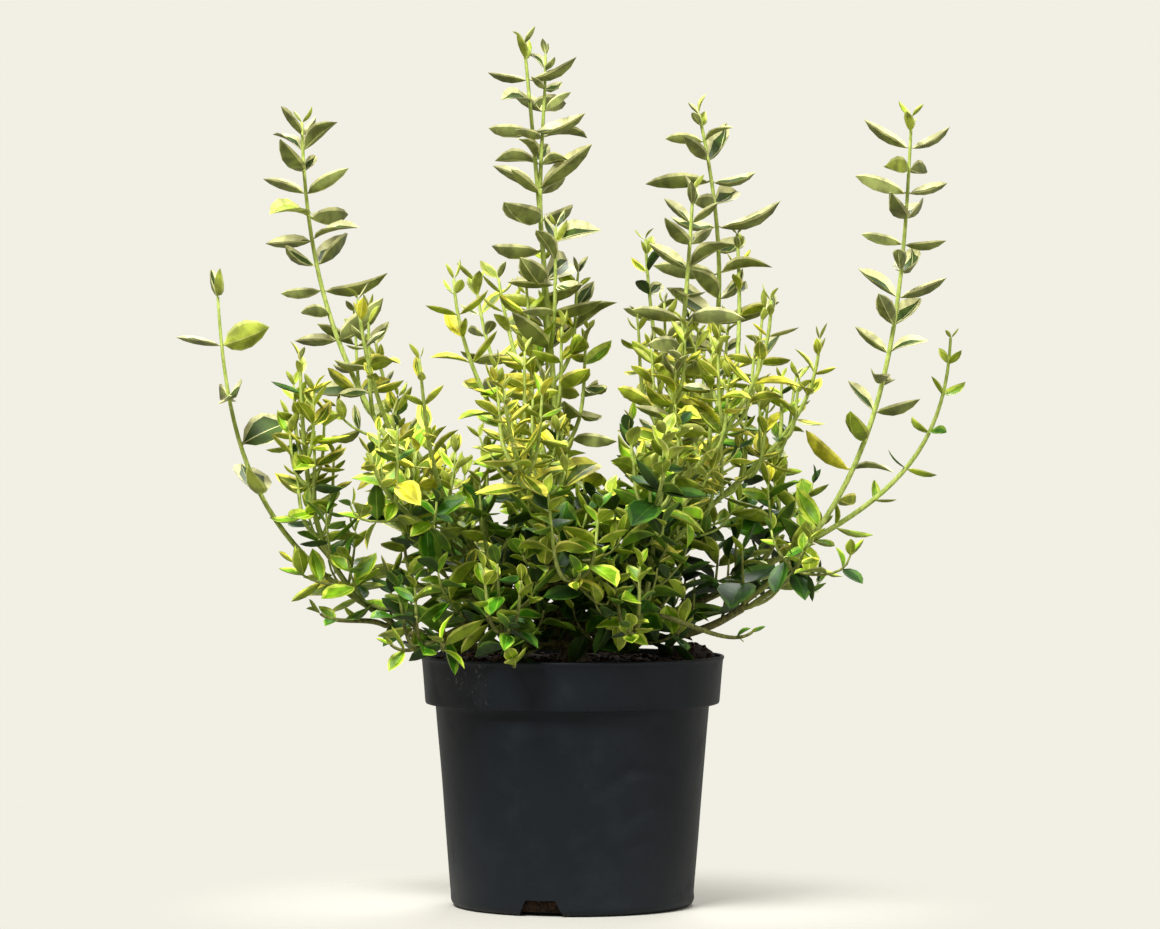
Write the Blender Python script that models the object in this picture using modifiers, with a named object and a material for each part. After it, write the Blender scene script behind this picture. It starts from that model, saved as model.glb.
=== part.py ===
# A variegated euonymus shrub in a plain nursery pot, standing on the pot's flat underside.
# Metres, +Z up. The origin is the centre of the underside, and the front faces -Y.
import math
import random

import bmesh
import bpy
from mathutils import Matrix, Vector, noise
from mathutils.bvhtree import BVHTree

UP = Vector((0.0, 0.0, 1.0))
ACROSS = Vector((1.0, 0.0, 0.0))
GAP = 0.0003
WELD = 0.00001

# Pot: a straight taper under a deep collar with a thin lip
POT_HEIGHT = 0.140
LIP_RADIUS = 0.085
LIP_DEPTH = 0.0017
COLLAR_TOP_RADIUS = 0.0843
COLLAR_LOW_RADIUS = 0.0825
COLLAR_HEIGHT = 0.027
BODY_TOP_RADIUS = 0.0767
BASE_RADIUS = 0.0682
BASE_ROUNDING = 0.0045
ROUNDING_TURN = (4.0, -90.0)
ROUNDING_STEPS = 3
WALL = 0.0015
POT_STEPS = 28

# Drain notches in the foot of the pot
NOTCH_BEARINGS = (255.0, 15.0, 135.0)
NOTCH_WIDTH = 0.028
NOTCH_TOP_WIDTH = 0.017
NOTCH_HEIGHT = 0.009
NOTCH_DEPTH = 0.014

# Soil: nearly level with the lip, lumpy, with one mound at the right
SOIL_LEVEL = 0.1362
SOIL_RIM_GAP = 0.0006
SOIL_RIM_DROP = 0.0012
SOIL_LUMP = 0.0022
SOIL_LUMP_SIZE = 0.016
SOIL_FLAT_RADIUS = 0.014
SOIL_RINGS = (0.014, 0.030, 0.046, 0.060, 0.072)
SOIL_STEPS = 14
MOUND_PLACE = (0.066, 0.026)
MOUND_RADIUS = 0.022
MOUND_HEIGHT = 0.0085

# Trunk: a short stem with a root flare and a slight lean
TRUNK_HEIGHT = 0.0285
TRUNK_FOOT_RADIUS = 0.0098
TRUNK_NECK_RADIUS = 0.0064
TRUNK_TOP_RADIUS = 0.0056
TRUNK_FLARE_HEIGHT = 0.006
TRUNK_FLARE_LOBES = 5
TRUNK_FLARE_LOBE_DEPTH = 0.12
TRUNK_LEAN = (0.0016, -0.0008)
TRUNK_SIDES = 15
TRUNK_RINGS = 6
TRUNK_RING_CROWDING = 1.4

# Boughs: place of the tip, height of the foot on the trunk, and the angles from
# upright at which each leaves the trunk and at which it ends
BOUGH_FOOT_RADIUS = 0.0023
BOUGH_TIP_RADIUS = 0.0021
BOUGH_HOLD = 0.36
BOUGH_POINTS = 4
BOUGHS = {
    "bough_left_low": {"tip": (-0.101, -0.012, 0.158), "rise": 0.0080, "leaves": 86, "ends": 60},
    "bough_right_low": {"tip": (0.096, -0.014, 0.168), "rise": 0.0080, "leaves": 84, "ends": 54},
    "bough_low_front_left": {"tip": (-0.034, -0.046, 0.160), "rise": 0.0085, "leaves": 78, "ends": 50},
    "bough_low_front_right": {"tip": (0.034, -0.048, 0.160), "rise": 0.0090, "leaves": 78, "ends": 50},
    "bough_back_left": {"tip": (-0.042, 0.040, 0.182), "rise": 0.0100, "leaves": 62, "ends": 40},
    "bough_back_right": {"tip": (0.038, 0.038, 0.186), "rise": 0.0105, "leaves": 58, "ends": 34},
    "bough_right_arch": {"tip": (0.092, 0.020, 0.179), "rise": 0.0140, "leaves": 78, "ends": 62},
    "bough_back": {"tip": (-0.006, 0.044, 0.186), "rise": 0.0145, "leaves": 58, "ends": 34},
    "bough_front": {"tip": (-0.010, -0.038, 0.187), "rise": 0.0160, "leaves": 54, "ends": 26},
    "bough_left_rising": {"tip": (-0.048, 0.006, 0.186), "rise": 0.0165, "leaves": 64, "ends": 42},
    "bough_front_right": {"tip": (0.032, -0.036, 0.190), "rise": 0.0175, "leaves": 56, "ends": 30},
    "bough_left_front": {"tip": (-0.046, -0.034, 0.187), "rise": 0.0215, "leaves": 66, "ends": 44},
    "bough_right_mid": {"tip": (0.046, 0.002, 0.193), "rise": 0.0215, "leaves": 62, "ends": 40},
    "bough_centre": {"tip": (-0.004, -0.004, 0.196), "rise": 0.0250, "leaves": 12, "ends": 6},
}

# Kinds of mass: points along the shoot, its bare foot, gap between leaf pairs, leaf
# length, and how many of the lowest nodes bear a pair of twigs
KINDS = {
    "tall": {"points": 6, "bare": 0.090, "spacing": 0.0205, "leaf": 0.035, "twig_nodes": 0},
    "medium": {"points": 5, "bare": 0.040, "spacing": 0.0460, "leaf": 0.042, "twig_nodes": 1},
    "low": {"points": 4, "bare": 0.020, "spacing": 0.0440, "leaf": 0.044, "twig_nodes": 1},
}

# Masses: bough, kind, tip of the main shoot, lean at the tip sideways and
# depthways, and how far each end holds its direction as a share of the length
MASSES = {
    "mass_left_arching": ("bough_left_low", "tall", (-0.197, -0.020, 0.340), (-0.06, 0.0), 0.42),
    "mass_left_fan": ("bough_left_low", "medium", (-0.150, -0.045, 0.304), (-0.05, -0.05), 0.36),
    "mass_left_low": ("bough_left_low", "low", (-0.140, -0.022, 0.164), (-1.2, -0.1), 0.30),
    "mass_left_tall": ("bough_left_rising", "tall", (-0.153, 0.025, 0.440), (-0.02, 0.0), 0.40),
    "mass_left_inner": ("bough_left_rising", "medium", (-0.118, -0.046, 0.338), (-0.1, -0.1), 0.36),
    "mass_left_front": ("bough_left_front", "low", (-0.108, -0.116, 0.254), (-0.2, -0.3), 0.34),
    "mass_left_middle": ("bough_left_front", "medium", (-0.081, -0.138, 0.304), (-0.1, -0.2), 0.36),
    "mass_left_skirt": ("bough_low_front_left", "low", (-0.098, -0.088, 0.150), (-1.0, -0.9), 0.34),
    "mass_front_low_left": ("bough_low_front_left", "low", (-0.050, -0.068, 0.228), (-0.1, -0.2), 0.34),
    "mass_front_rim_left": ("bough_low_front_left", "low", (-0.034, -0.110, 0.160), (0.1, -1.2), 0.34),
    "mass_back_left_high": ("bough_back_left", "medium", (-0.114, 0.088, 0.316), (-0.15, 0.1), 0.36),
    "mass_back_left_low": ("bough_back_left", "low", (-0.100, 0.130, 0.240), (-0.3, 0.4), 0.34),
    "mass_back_left_skirt": ("bough_back_left", "low", (-0.100, 0.078, 0.176), (-1.0, 0.6), 0.32),
    "mass_centre_tall": ("bough_centre", "tall", (-0.027, -0.005, 0.482), (-0.10, 0.0), 0.38),
    "mass_centre_left": ("bough_centre", "medium", (-0.042, 0.030, 0.352), (-0.15, 0.1), 0.36),
    "mass_front_left": ("bough_front", "medium", (-0.064, -0.090, 0.348), (-0.05, -0.1), 0.38),
    "mass_front_centre": ("bough_front", "medium", (-0.036, -0.150, 0.288), (-0.1, -0.25), 0.36),
    "mass_front_skirt": ("bough_front", "low", (0.004, -0.122, 0.190), (0.1, -1.2), 0.36),
    "mass_front_right_tall": ("bough_front_right", "tall", (0.066, -0.060, 0.397), (0.06, 0.0), 0.38),
    "mass_front_right_low": ("bough_front_right", "low", (0.050, -0.142, 0.250), (0.2, -0.35), 0.34),
    "mass_right_front": ("bough_front_right", "medium", (0.107, -0.100, 0.336), (0.0, -0.1), 0.38),
    "mass_front_low_right": ("bough_low_front_right", "low", (0.046, -0.070, 0.226), (0.1, -0.2), 0.34),
    "mass_front_rim_right": ("bough_low_front_right", "low", (0.030, -0.112, 0.160), (-0.1, -1.2), 0.34),
    "mass_right_front_skirt": ("bough_low_front_right", "low", (0.098, -0.070, 0.156), (1.2, -0.7), 0.34),
    "mass_back_high": ("bough_back", "medium", (-0.056, 0.088, 0.352), (-0.1, 0.1), 0.36),
    "mass_back_low": ("bough_back", "low", (-0.022, 0.156, 0.262), (-0.1, 0.4), 0.34),
    "mass_back_skirt": ("bough_back", "low", (0.014, 0.112, 0.206), (0.2, 0.8), 0.36),
    "mass_right_centre_tall": ("bough_back_right", "tall", (0.072, 0.045, 0.446), (-0.22, 0.0), 0.42),
    "mass_back_centre": ("bough_back_right", "medium", (0.042, 0.082, 0.376), (-0.04, 0.1), 0.38),
    "mass_back_right_low": ("bough_back_right", "low", (0.070, 0.150, 0.256), (0.2, 0.4), 0.34),
    "mass_right_inner": ("bough_right_mid", "medium", (0.094, 0.052, 0.378), (-0.05, 0.0), 0.38),
    "mass_right_medium": ("bough_right_mid", "medium", (0.136, -0.046, 0.316), (0.05, -0.05), 0.38),
    "mass_right_tall": ("bough_right_low", "tall", (0.188, -0.025, 0.440), (0.05, 0.0), 0.36),
    "mass_right_skirt": ("bough_right_low", "low", (0.128, -0.096, 0.208), (0.4, -0.5), 0.34),
    "mass_right_arching": ("bough_right_arch", "tall", (0.214, 0.028, 0.318), (0.04, 0.0), 0.44),
    "mass_right_back": ("bough_right_arch", "low", (0.122, 0.110, 0.258), (0.2, 0.4), 0.34),
    "mass_right_low": ("bough_right_arch", "low", (0.126, 0.064, 0.190), (1.0, 0.6), 0.32),
}

# The centre shoot's twin: how far below the tip it parts, and where it ends beside the tip
TWINS = {"mass_centre_tall": {"parts": 0.082, "beside": (0.0120, 0.0020, -0.0060)}}

# Shoots: three-sided stems, side by side on the bough's tip, that thin towards the tip
SHOOT_FOOT_RADIUS = 0.0019
SHOOT_TIP_RADIUS = 0.0008
SEAT_LEAD = 0.0025
SEAT_RADIUS = {1: 0.0, 2: 0.0022, 3: 0.0026}

# Twigs: out from a node, then up
TWIG_FOOT_RADIUS = 0.0011
TWIG_TIP_RADIUS = 0.0006
TWIG_HOLD = 0.33
TWIG_POINTS = 3
TWIG_SPACING = 0.025
TWIG_BARE = 0.026
TWIG_LENGTH = 0.050
TWIG_SCATTER = 0.25
TWIG_OPEN = 48.0
TWIG_WAY = (0.75, 0.45)
TWIG_FINISH = (0.35, 1.0)
TWIG_TURN = 45.0

# Nodes: pairs of leaves a quarter turn apart, closer together towards the tip
TIP_SPACING_SHARE = 0.5
SPACING_NODES = 4
NODE_TURN = 90.0
TURN_SCATTER = 9.0
SINKING_KEPT = 0.35

# Leaves: a folded, sagging blade of eight faces, of unit length
LEAF_WIDTH = 0.52
LEAF_THICKNESS = 0.035
LEAF_FOLD = 0.07
LEAF_SAG = 0.085
LEAF_WAIST = 0.46
LEAF_SUNK = 0.0003
LEAF_ROLL = 26.0
LEAF_STEEPEST = 0.2
FAR_BLADE = 0.24
TIP_LEAF_SCALE = 0.45
FULL_LEAF_NODE = 3
TWIG_LEAF_SCALE = 0.86
TIP_LEAF_OPEN = 24.0
LOW_LEAF_OPEN = 66.0
OPEN_SCATTER = 7.0
LENGTH_SCATTER = 0.12
NUDGES = (0.0, 16.0, -16.0, 32.0, -32.0)
CLEARANCE = 0.0008

# Finishes: colour and roughness
FINISHES = {
    "pot": ((0.020, 0.023, 0.027), 0.46),
    "soil": ((0.030, 0.019, 0.012), 0.95),
    "bark": ((0.150, 0.118, 0.060), 0.80),
    "tall": ((0.290, 0.360, 0.130), 0.50),
    "medium": ((0.400, 0.450, 0.070), 0.50),
    "low": ((0.150, 0.340, 0.035), 0.45),
}


def clear_scene():
    for item in list(bpy.data.objects):
        bpy.data.objects.remove(item, do_unlink=True)


def new_collection(name, hidden=False):
    collection = bpy.data.collections.new(name)
    bpy.context.scene.collection.children.link(collection)
    collection.hide_render = hidden
    return collection


def make_material(name, finish):
    colour, roughness = FINISHES[finish]
    material = bpy.data.materials.new(name)
    material.use_nodes = True
    shader = material.node_tree.nodes["Principled BSDF"]
    shader.inputs["Base Color"].default_value = (*colour, 1.0)
    shader.inputs["Roughness"].default_value = roughness
    shader.inputs["Metallic"].default_value = 0.0
    material.diffuse_color = (*colour, 1.0)
    return material


def add_object(name, mesh, collection, finish=None):
    item = bpy.data.objects.new(name, mesh)
    collection.objects.link(item)
    if finish is not None:
        mesh.materials.clear()
        mesh.materials.append(make_material(name, finish))
    return item


def evaluated_mesh(item):
    bpy.context.view_layer.update()
    graph = bpy.context.evaluated_depsgraph_get()
    return bpy.data.meshes.new_from_object(item.evaluated_get(graph))


def mesh_from(shape, name):
    mesh = bpy.data.meshes.new(name)
    shape.to_mesh(mesh)
    shape.free()
    return mesh


def weld(mesh):
    shape = bmesh.new()
    shape.from_mesh(mesh)
    bmesh.ops.remove_doubles(shape, verts=shape.verts, dist=WELD)
    bmesh.ops.recalc_face_normals(shape, faces=shape.faces)
    shape.to_mesh(mesh)
    shape.free()
    return mesh


def turned_mesh(name, profile, steps, collection):
    """Turn a profile of (radius, height) pairs about the Z axis."""
    shape = bmesh.new()
    points = [shape.verts.new((radius, 0.0, height)) for radius, height in profile]
    for first, second in zip(points, points[1:]):
        shape.edges.new((first, second))
    item = add_object(name, mesh_from(shape, name), collection)
    screw = item.modifiers.new("Turn", "SCREW")
    screw.steps = steps
    screw.render_steps = steps
    screw.use_merge_vertices = True
    screw.merge_threshold = WELD
    mesh = evaluated_mesh(item)
    bpy.data.objects.remove(item, do_unlink=True)
    mesh.name = name
    return mesh


def arc(centre, radius, turn, count):
    """Points of a round in the profile plane, between the two angles of turn in degrees."""
    points = []
    for index in range(count + 1):
        angle = math.radians(turn[0] + (turn[1] - turn[0]) * index / count)
        points.append((centre[0] + radius * math.cos(angle), centre[1] + radius * math.sin(angle)))
    return points


def cut(item, cutter):
    modifier = item.modifiers.new("Cut", "BOOLEAN")
    modifier.operation = "DIFFERENCE"
    modifier.object = cutter
    cutter.hide_render = True
    cutter.display_type = "WIRE"


def smooth(item, angle=35.0):
    item.data.shade_smooth()
    item.data.set_sharp_from_angle(angle=math.radians(angle))


def body_radius(height):
    """Outer radius of the tapered body below the collar."""
    share = height / (POT_HEIGHT - COLLAR_HEIGHT)
    return BASE_RADIUS + (BODY_TOP_RADIUS - BASE_RADIUS) * share


def make_pot(collection, cutters):
    ledge = POT_HEIGHT - COLLAR_HEIGHT
    corner = (BASE_RADIUS - BASE_ROUNDING, BASE_ROUNDING)
    inside = [
        (0.0, WALL),
        (BASE_RADIUS - BASE_ROUNDING, WALL),
        (body_radius(BASE_ROUNDING) - WALL, BASE_ROUNDING + WALL),
        (BODY_TOP_RADIUS - WALL, ledge + WALL),
        (COLLAR_LOW_RADIUS - WALL, ledge + WALL),
        (COLLAR_TOP_RADIUS - WALL, POT_HEIGHT - LIP_DEPTH),
        (COLLAR_TOP_RADIUS - WALL, POT_HEIGHT),
    ]
    outside = [
        (LIP_RADIUS, POT_HEIGHT),
        (LIP_RADIUS, POT_HEIGHT - LIP_DEPTH),
        (COLLAR_TOP_RADIUS, POT_HEIGHT - 2 * LIP_DEPTH),
        (COLLAR_LOW_RADIUS, ledge + WALL),
        (COLLAR_LOW_RADIUS - WALL, ledge),
        (BODY_TOP_RADIUS, ledge),
    ]
    foot = arc(corner, BASE_ROUNDING, ROUNDING_TURN, ROUNDING_STEPS)
    mesh = turned_mesh("pot", inside + outside + foot + [(0.0, 0.0)], POT_STEPS, collection)
    pot = add_object("pot", mesh, collection, "pot")
    for index, bearing in enumerate(NOTCH_BEARINGS):
        cut(pot, make_notch_cutter(f"notch_cutter_{index + 1}", bearing, cutters))
    smooth(pot)
    return pot


def make_notch_cutter(name, bearing, cutters):
    """A block with a narrower top, across the foot of the wall at one bearing."""
    shape = bmesh.new()
    bmesh.ops.create_cube(shape, size=1.0)
    for vert in shape.verts:
        width = NOTCH_TOP_WIDTH if vert.co.z > 0.0 else NOTCH_WIDTH
        vert.co.x *= 2.0 * NOTCH_DEPTH
        vert.co.y *= width
        vert.co.z = NOTCH_HEIGHT if vert.co.z > 0.0 else -NOTCH_HEIGHT / 4.0
    cutter = add_object(name, mesh_from(shape, name), cutters)
    cutter.location = Vector((BASE_RADIUS, 0.0, 0.0))
    cutter.location.rotate(Matrix.Rotation(math.radians(bearing), 3, "Z"))
    cutter.rotation_euler.z = math.radians(bearing)
    return cutter


def make_soil(collection):
    """A solid fill, one gap clear of the pot, with a lumpy top."""
    ledge = POT_HEIGHT - COLLAR_HEIGHT
    clear = WALL + GAP
    surface = [(0.0, SOIL_LEVEL)] + [(radius, SOIL_LEVEL) for radius in SOIL_RINGS]
    side = [
        (COLLAR_TOP_RADIUS - clear - SOIL_RIM_GAP, SOIL_LEVEL - SOIL_RIM_DROP),
        (COLLAR_LOW_RADIUS - clear, ledge + clear),
        (BODY_TOP_RADIUS - clear, ledge + clear),
        (body_radius(BASE_ROUNDING) - clear, BASE_ROUNDING + clear),
        (BASE_RADIUS - BASE_ROUNDING - GAP, clear),
        (0.0, clear),
    ]
    mesh = turned_mesh("soil", surface + side, SOIL_STEPS, collection)
    for vert in mesh.vertices:
        radius = math.hypot(vert.co.x, vert.co.y)
        on_top = abs(vert.co.z - SOIL_LEVEL) < WELD
        if on_top and radius > SOIL_FLAT_RADIUS + WELD:
            place = Vector((vert.co.x, vert.co.y, 0.0)) / SOIL_LUMP_SIZE
            away = math.hypot(vert.co.x - MOUND_PLACE[0], vert.co.y - MOUND_PLACE[1])
            mound = max(0.0, 1.0 - (away / MOUND_RADIUS) ** 2)
            vert.co.z += SOIL_LUMP * noise.noise(place) + MOUND_HEIGHT * mound
    return add_object("soil", mesh, collection, "soil")


def trunk_centre(share):
    return Vector((TRUNK_LEAN[0] * share, TRUNK_LEAN[1] * share, 0.0))


def trunk_mesh(name, extra):
    """Stacked rings from the lobed flare to the top, grown outwards by extra."""
    foot = SOIL_LEVEL + GAP - extra
    height = TRUNK_HEIGHT + 2.0 * extra
    shape = bmesh.new()
    rings = []
    for index in range(TRUNK_RINGS):
        share = (index / (TRUNK_RINGS - 1)) ** TRUNK_RING_CROWDING
        flare = math.exp(-share * TRUNK_HEIGHT / TRUNK_FLARE_HEIGHT)
        radius = TRUNK_NECK_RADIUS + (TRUNK_TOP_RADIUS - TRUNK_NECK_RADIUS) * share
        radius += (TRUNK_FOOT_RADIUS - TRUNK_NECK_RADIUS) * flare
        ring = bmesh.ops.create_circle(shape, segments=TRUNK_SIDES, radius=1.0)["verts"]
        for vert in ring:
            angle = math.atan2(vert.co.y, vert.co.x)
            lobe = 1.0 + TRUNK_FLARE_LOBE_DEPTH * flare * math.cos(TRUNK_FLARE_LOBES * angle)
            vert.co *= radius * lobe + extra
            vert.co += trunk_centre(share)
            vert.co.z = foot + height * share
        rings.append(ring)
    for low, high in zip(rings, rings[1:]):
        bmesh.ops.bridge_loops(shape, edges=ring_edges(low) + ring_edges(high))
    bmesh.ops.contextual_create(shape, geom=ring_edges(rings[0]))
    bmesh.ops.contextual_create(shape, geom=ring_edges(rings[-1]))
    bmesh.ops.recalc_face_normals(shape, faces=shape.faces)
    return mesh_from(shape, name)


def ring_edges(ring):
    members = set(ring)
    edges = {edge for vert in ring for edge in vert.link_edges}
    return [edge for edge in edges if set(edge.verts) <= members]


def bend(foot, way, tip, finish, hold, count):
    """Points of one smooth bend that leaves foot along way and reaches tip along finish."""
    reach = (tip - foot).length * hold
    first = foot + way * reach
    second = tip - finish * reach
    points = []
    for index in range(count):
        share = index / (count - 1)
        rest = 1.0 - share
        inner = first * 3.0 * rest**2 * share + second * 3.0 * rest * share**2
        points.append(foot * rest**3 + inner + tip * share**3)
    return points


def lean_way(outward, angle):
    """A unit direction, angle degrees from upright, towards outward."""
    turn = math.radians(angle)
    return outward * math.sin(turn) + UP * math.cos(turn)


def limb_mesh(name, points, foot_radius, tip_radius, collection, profile=None):
    """A tapering limb as a closed mesh: round, or with the sides of a given profile."""
    curve = bpy.data.curves.new(name, "CURVE")
    curve.dimensions = "3D"
    curve.use_fill_caps = True
    curve.bevel_resolution = 1
    curve.bevel_depth = 1.0
    if profile is not None:
        curve.bevel_mode = "OBJECT"
        curve.bevel_object = profile
    spline = curve.splines.new("POLY")
    spline.points.add(len(points) - 1)
    for index, place in enumerate(points):
        share = index / (len(points) - 1)
        spline.points[index].co = (*place, 1.0)
        spline.points[index].radius = foot_radius + (tip_radius - foot_radius) * share
    item = bpy.data.objects.new(name, curve)
    collection.objects.link(item)
    mesh = weld(evaluated_mesh(item))
    bpy.data.objects.remove(item, do_unlink=True)
    bpy.data.curves.remove(curve)
    mesh.name = name
    return mesh


def make_profile(cutters):
    """The three-sided outline of a twig."""
    curve = bpy.data.curves.new("twig_profile", "CURVE")
    curve.dimensions = "2D"
    spline = curve.splines.new("POLY")
    spline.points.add(2)
    spline.use_cyclic_u = True
    for index in range(3):
        angle = math.radians(120.0 * index + 30.0)
        spline.points[index].co = (math.cos(angle), math.sin(angle), 0.0, 1.0)
    profile = bpy.data.objects.new("twig_profile", curve)
    cutters.objects.link(profile)
    profile.hide_render = True
    return profile


def make_boughs(collection, cutters):
    """Each bough runs from inside the trunk, cut one gap clear of it. Returns their ends."""
    cutter = add_object("trunk_cutter", trunk_mesh("trunk_cutter", GAP), cutters)
    ends = {}
    for name, spec in BOUGHS.items():
        tip = Vector(spec["tip"])
        foot = trunk_centre(spec["rise"] / TRUNK_HEIGHT) + UP * (SOIL_LEVEL + GAP + spec["rise"])
        outward = Vector((tip.x - foot.x, tip.y - foot.y, 0.0)).normalized()
        finish = lean_way(outward, spec["ends"])
        way = lean_way(outward, spec["leaves"])
        points = bend(foot, way, tip - finish * SEAT_LEAD, finish, BOUGH_HOLD, BOUGH_POINTS) + [tip]
        mesh = limb_mesh(name, points, BOUGH_FOOT_RADIUS, BOUGH_TIP_RADIUS, collection)
        bough = add_object(name, mesh, collection, "bark")
        cut(bough, cutter)
        smooth(bough)
        ends[name] = (tip, finish)
    return ends


def seats(ends):
    """The foot of each mass's stem, side by side on its bough's tip and a gap clear of it."""
    feet = {}
    for bough, (tip, way) in ends.items():
        carried = [name for name, spec in MASSES.items() if spec[0] == bough]
        middle = sum((Vector(MASSES[name][2]) for name in carried), Vector()) / len(carried)
        side = way.cross(UP).normalized()
        over = side.cross(way)
        bearings = {}
        for name in carried:
            towards = Vector(MASSES[name][2]) - middle
            bearings[name] = math.atan2(towards.dot(over), towards.dot(side))
        ordered = sorted(carried, key=bearings.get)
        for index, name in enumerate(ordered):
            angle = bearings[ordered[0]] + math.tau * index / len(carried)
            offset = side * math.cos(angle) + over * math.sin(angle)
            feet[name] = tip + way * GAP + offset * SEAT_RADIUS[len(carried)]
    return feet


def walk(points, bare, spacing):
    """Places and directions of the nodes from the tip down, at gaps that grow at first."""
    line = list(reversed(points))
    lengths = [0.0]
    for first, second in zip(line, line[1:]):
        lengths.append(lengths[-1] + (second - first).length)
    stops = []
    distance = 0.0
    while distance <= lengths[-1] - bare:
        piece = max(index for index in range(len(line) - 1) if lengths[index] <= distance)
        share = (distance - lengths[piece]) / (lengths[piece + 1] - lengths[piece])
        place = line[piece].lerp(line[piece + 1], share)
        stops.append((place, (line[piece] - line[piece + 1]).normalized()))
        grown = min(1.0, len(stops) / SPACING_NODES)
        distance += spacing * (TIP_SPACING_SHARE + (1.0 - TIP_SPACING_SHARE) * grown)
    return stops


def leaf_mesh(name, fatter=0.0, start=0.0):
    """A blade of unit length along +Z: folded up along its midrib and sagging at its waist."""
    shape = bmesh.new()
    bmesh.ops.create_uvsphere(shape, u_segments=4, v_segments=2, radius=0.5)
    for vert in shape.verts:
        edge = abs(vert.co.x) * 2.0
        waist = 1.0 - abs(vert.co.z) * 2.0
        vert.co.x *= LEAF_WIDTH + fatter
        vert.co.y *= LEAF_THICKNESS + fatter
        vert.co.y += LEAF_FOLD * edge - LEAF_SAG * waist
        vert.co.z = max(start, vert.co.z + 0.5 + (LEAF_WAIST - 0.5) * waist)
    return mesh_from(shape, name)


def leaf_matrix(base, way, length, roll):
    """Places a unit leaf at base along way, its upper side to the sky but for its roll."""
    over = UP - way * way.dot(UP)
    if over.length < LEAF_STEEPEST:
        over = ACROSS - way * way.dot(ACROSS)
    over.normalize()
    over.rotate(Matrix.Rotation(math.radians(roll), 3, way))
    turn = Matrix((over.cross(way), over, way)).transposed().to_4x4()
    return Matrix.Translation(base) @ turn @ Matrix.Scale(length, 4)


class Space:
    """The solids that are placed, each with its owner, and whether one more clears them."""

    def __init__(self):
        self.taken = []

    def solid(self, mesh, matrix):
        points = [matrix @ vert.co for vert in mesh.vertices]
        faces = [tuple(face.vertices) for face in mesh.polygons]
        middle = sum(points, Vector()) / len(points)
        radius = max((point - middle).length for point in points)
        return middle, radius, BVHTree.FromPolygons(points, faces)

    def add(self, owner, mesh, matrix):
        self.taken.append((owner, *self.solid(mesh, matrix)))

    def clear(self, owner, mesh, matrix):
        middle, radius, tree = self.solid(mesh, matrix)
        for other, place, size, solid in self.taken:
            if other != owner and (place - middle).length < radius + size and tree.overlap(solid):
                return False
        return True


def pair_ways(way, side, turn, opening):
    """The two opposite directions of one pair of leaves or twigs, which hardly sink."""
    across = side * math.cos(turn) + way.cross(side) * math.sin(turn)
    ways = []
    for sign in (1.0, -1.0):
        spread = (across * sign * math.sin(opening) + way * math.cos(opening)).normalized()
        if spread.z < 0.0:
            spread.z *= SINKING_KEPT
            spread.normalize()
        ways.append(spread)
    return ways


def scatter(chance, amount):
    return chance.uniform(-amount, amount)


def grow(points, bare, spacing, leaf, twig_nodes, turn, chance):
    """Leaves as (base, way, length, roll) and twigs as point lists along one shoot, tip first."""
    leaves, sprouts = [], []
    side = ACROSS.copy()
    stops = walk(points, bare, spacing)
    for index, (place, way) in enumerate(stops):
        side = (side - way * side.dot(way)).normalized()
        grown = min(1.0, index / FULL_LEAF_NODE)
        angle = math.radians(turn + NODE_TURN * index + scatter(chance, TURN_SCATTER))
        opening = TIP_LEAF_OPEN + (LOW_LEAF_OPEN - TIP_LEAF_OPEN) * grown
        opening = math.radians(opening + scatter(chance, OPEN_SCATTER))
        size = leaf * (TIP_LEAF_SCALE + (1.0 - TIP_LEAF_SCALE) * grown)
        if len(stops) - index <= twig_nodes:
            for start in pair_ways(way, side, angle, math.radians(TWIG_OPEN)):
                sprouts.append(twig_points(place, start, chance))
        for spread in pair_ways(way, side, angle, opening):
            length = size * (1.0 + scatter(chance, LENGTH_SCATTER))
            leaves.append((place - spread * LEAF_SUNK, spread, length, scatter(chance, LEAF_ROLL)))
    return leaves, sprouts


def twig_points(place, start, chance):
    length = TWIG_LENGTH * (1.0 + scatter(chance, TWIG_SCATTER))
    tip = place + (start * TWIG_WAY[0] + UP * TWIG_WAY[1]).normalized() * length
    finish = (start * TWIG_FINISH[0] + UP * TWIG_FINISH[1]).normalized()
    return bend(place, start, tip, finish, TWIG_HOLD, TWIG_POINTS)


def twin_points(axis, twin):
    """A second shoot that parts from the axis and ends beside its tip."""
    place, way = walk(axis, 0.0, twin["parts"] / TIP_SPACING_SHARE)[1]
    return bend(place, way, axis[-1] + Vector(twin["beside"]), UP, TWIG_HOLD, TWIG_POINTS)


def fuse(stem, pieces):
    """Join a mass's stem with its twigs and leaves into one solid, and remove the pieces."""
    union = stem.modifiers.new("Union", "BOOLEAN")
    union.operation = "UNION"
    union.operand_type = "COLLECTION"
    union.collection = pieces
    mesh = evaluated_mesh(stem)
    stem.modifiers.clear()
    for item in list(pieces.objects):
        bpy.data.objects.remove(item, do_unlink=True)
    bpy.data.collections.remove(pieces)
    return mesh


def shell_volume(faces):
    volume = 0.0
    for face in faces:
        first = face.verts[0].co
        for second, third in zip(face.verts[1:], face.verts[2:]):
            volume += first.dot(second.co.cross(third.co)) / 6.0
    return volume


def keep_largest_shell(mesh):
    """Keep the outer skin of the largest body: hollows are filled and scraps dropped."""
    shape = bmesh.new()
    shape.from_mesh(mesh)
    left = set(shape.faces)
    shells = []
    while left:
        heap = [left.pop()]
        shell = list(heap)
        while heap:
            for edge in heap.pop().edges:
                for face in edge.link_faces:
                    if face in left:
                        left.remove(face)
                        heap.append(face)
                        shell.append(face)
        shells.append(shell)
    shells.sort(key=shell_volume)
    for shell in shells[:-1]:
        bmesh.ops.delete(shape, geom=shell, context="FACES")
    shape.to_mesh(mesh)
    shape.free()


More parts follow.
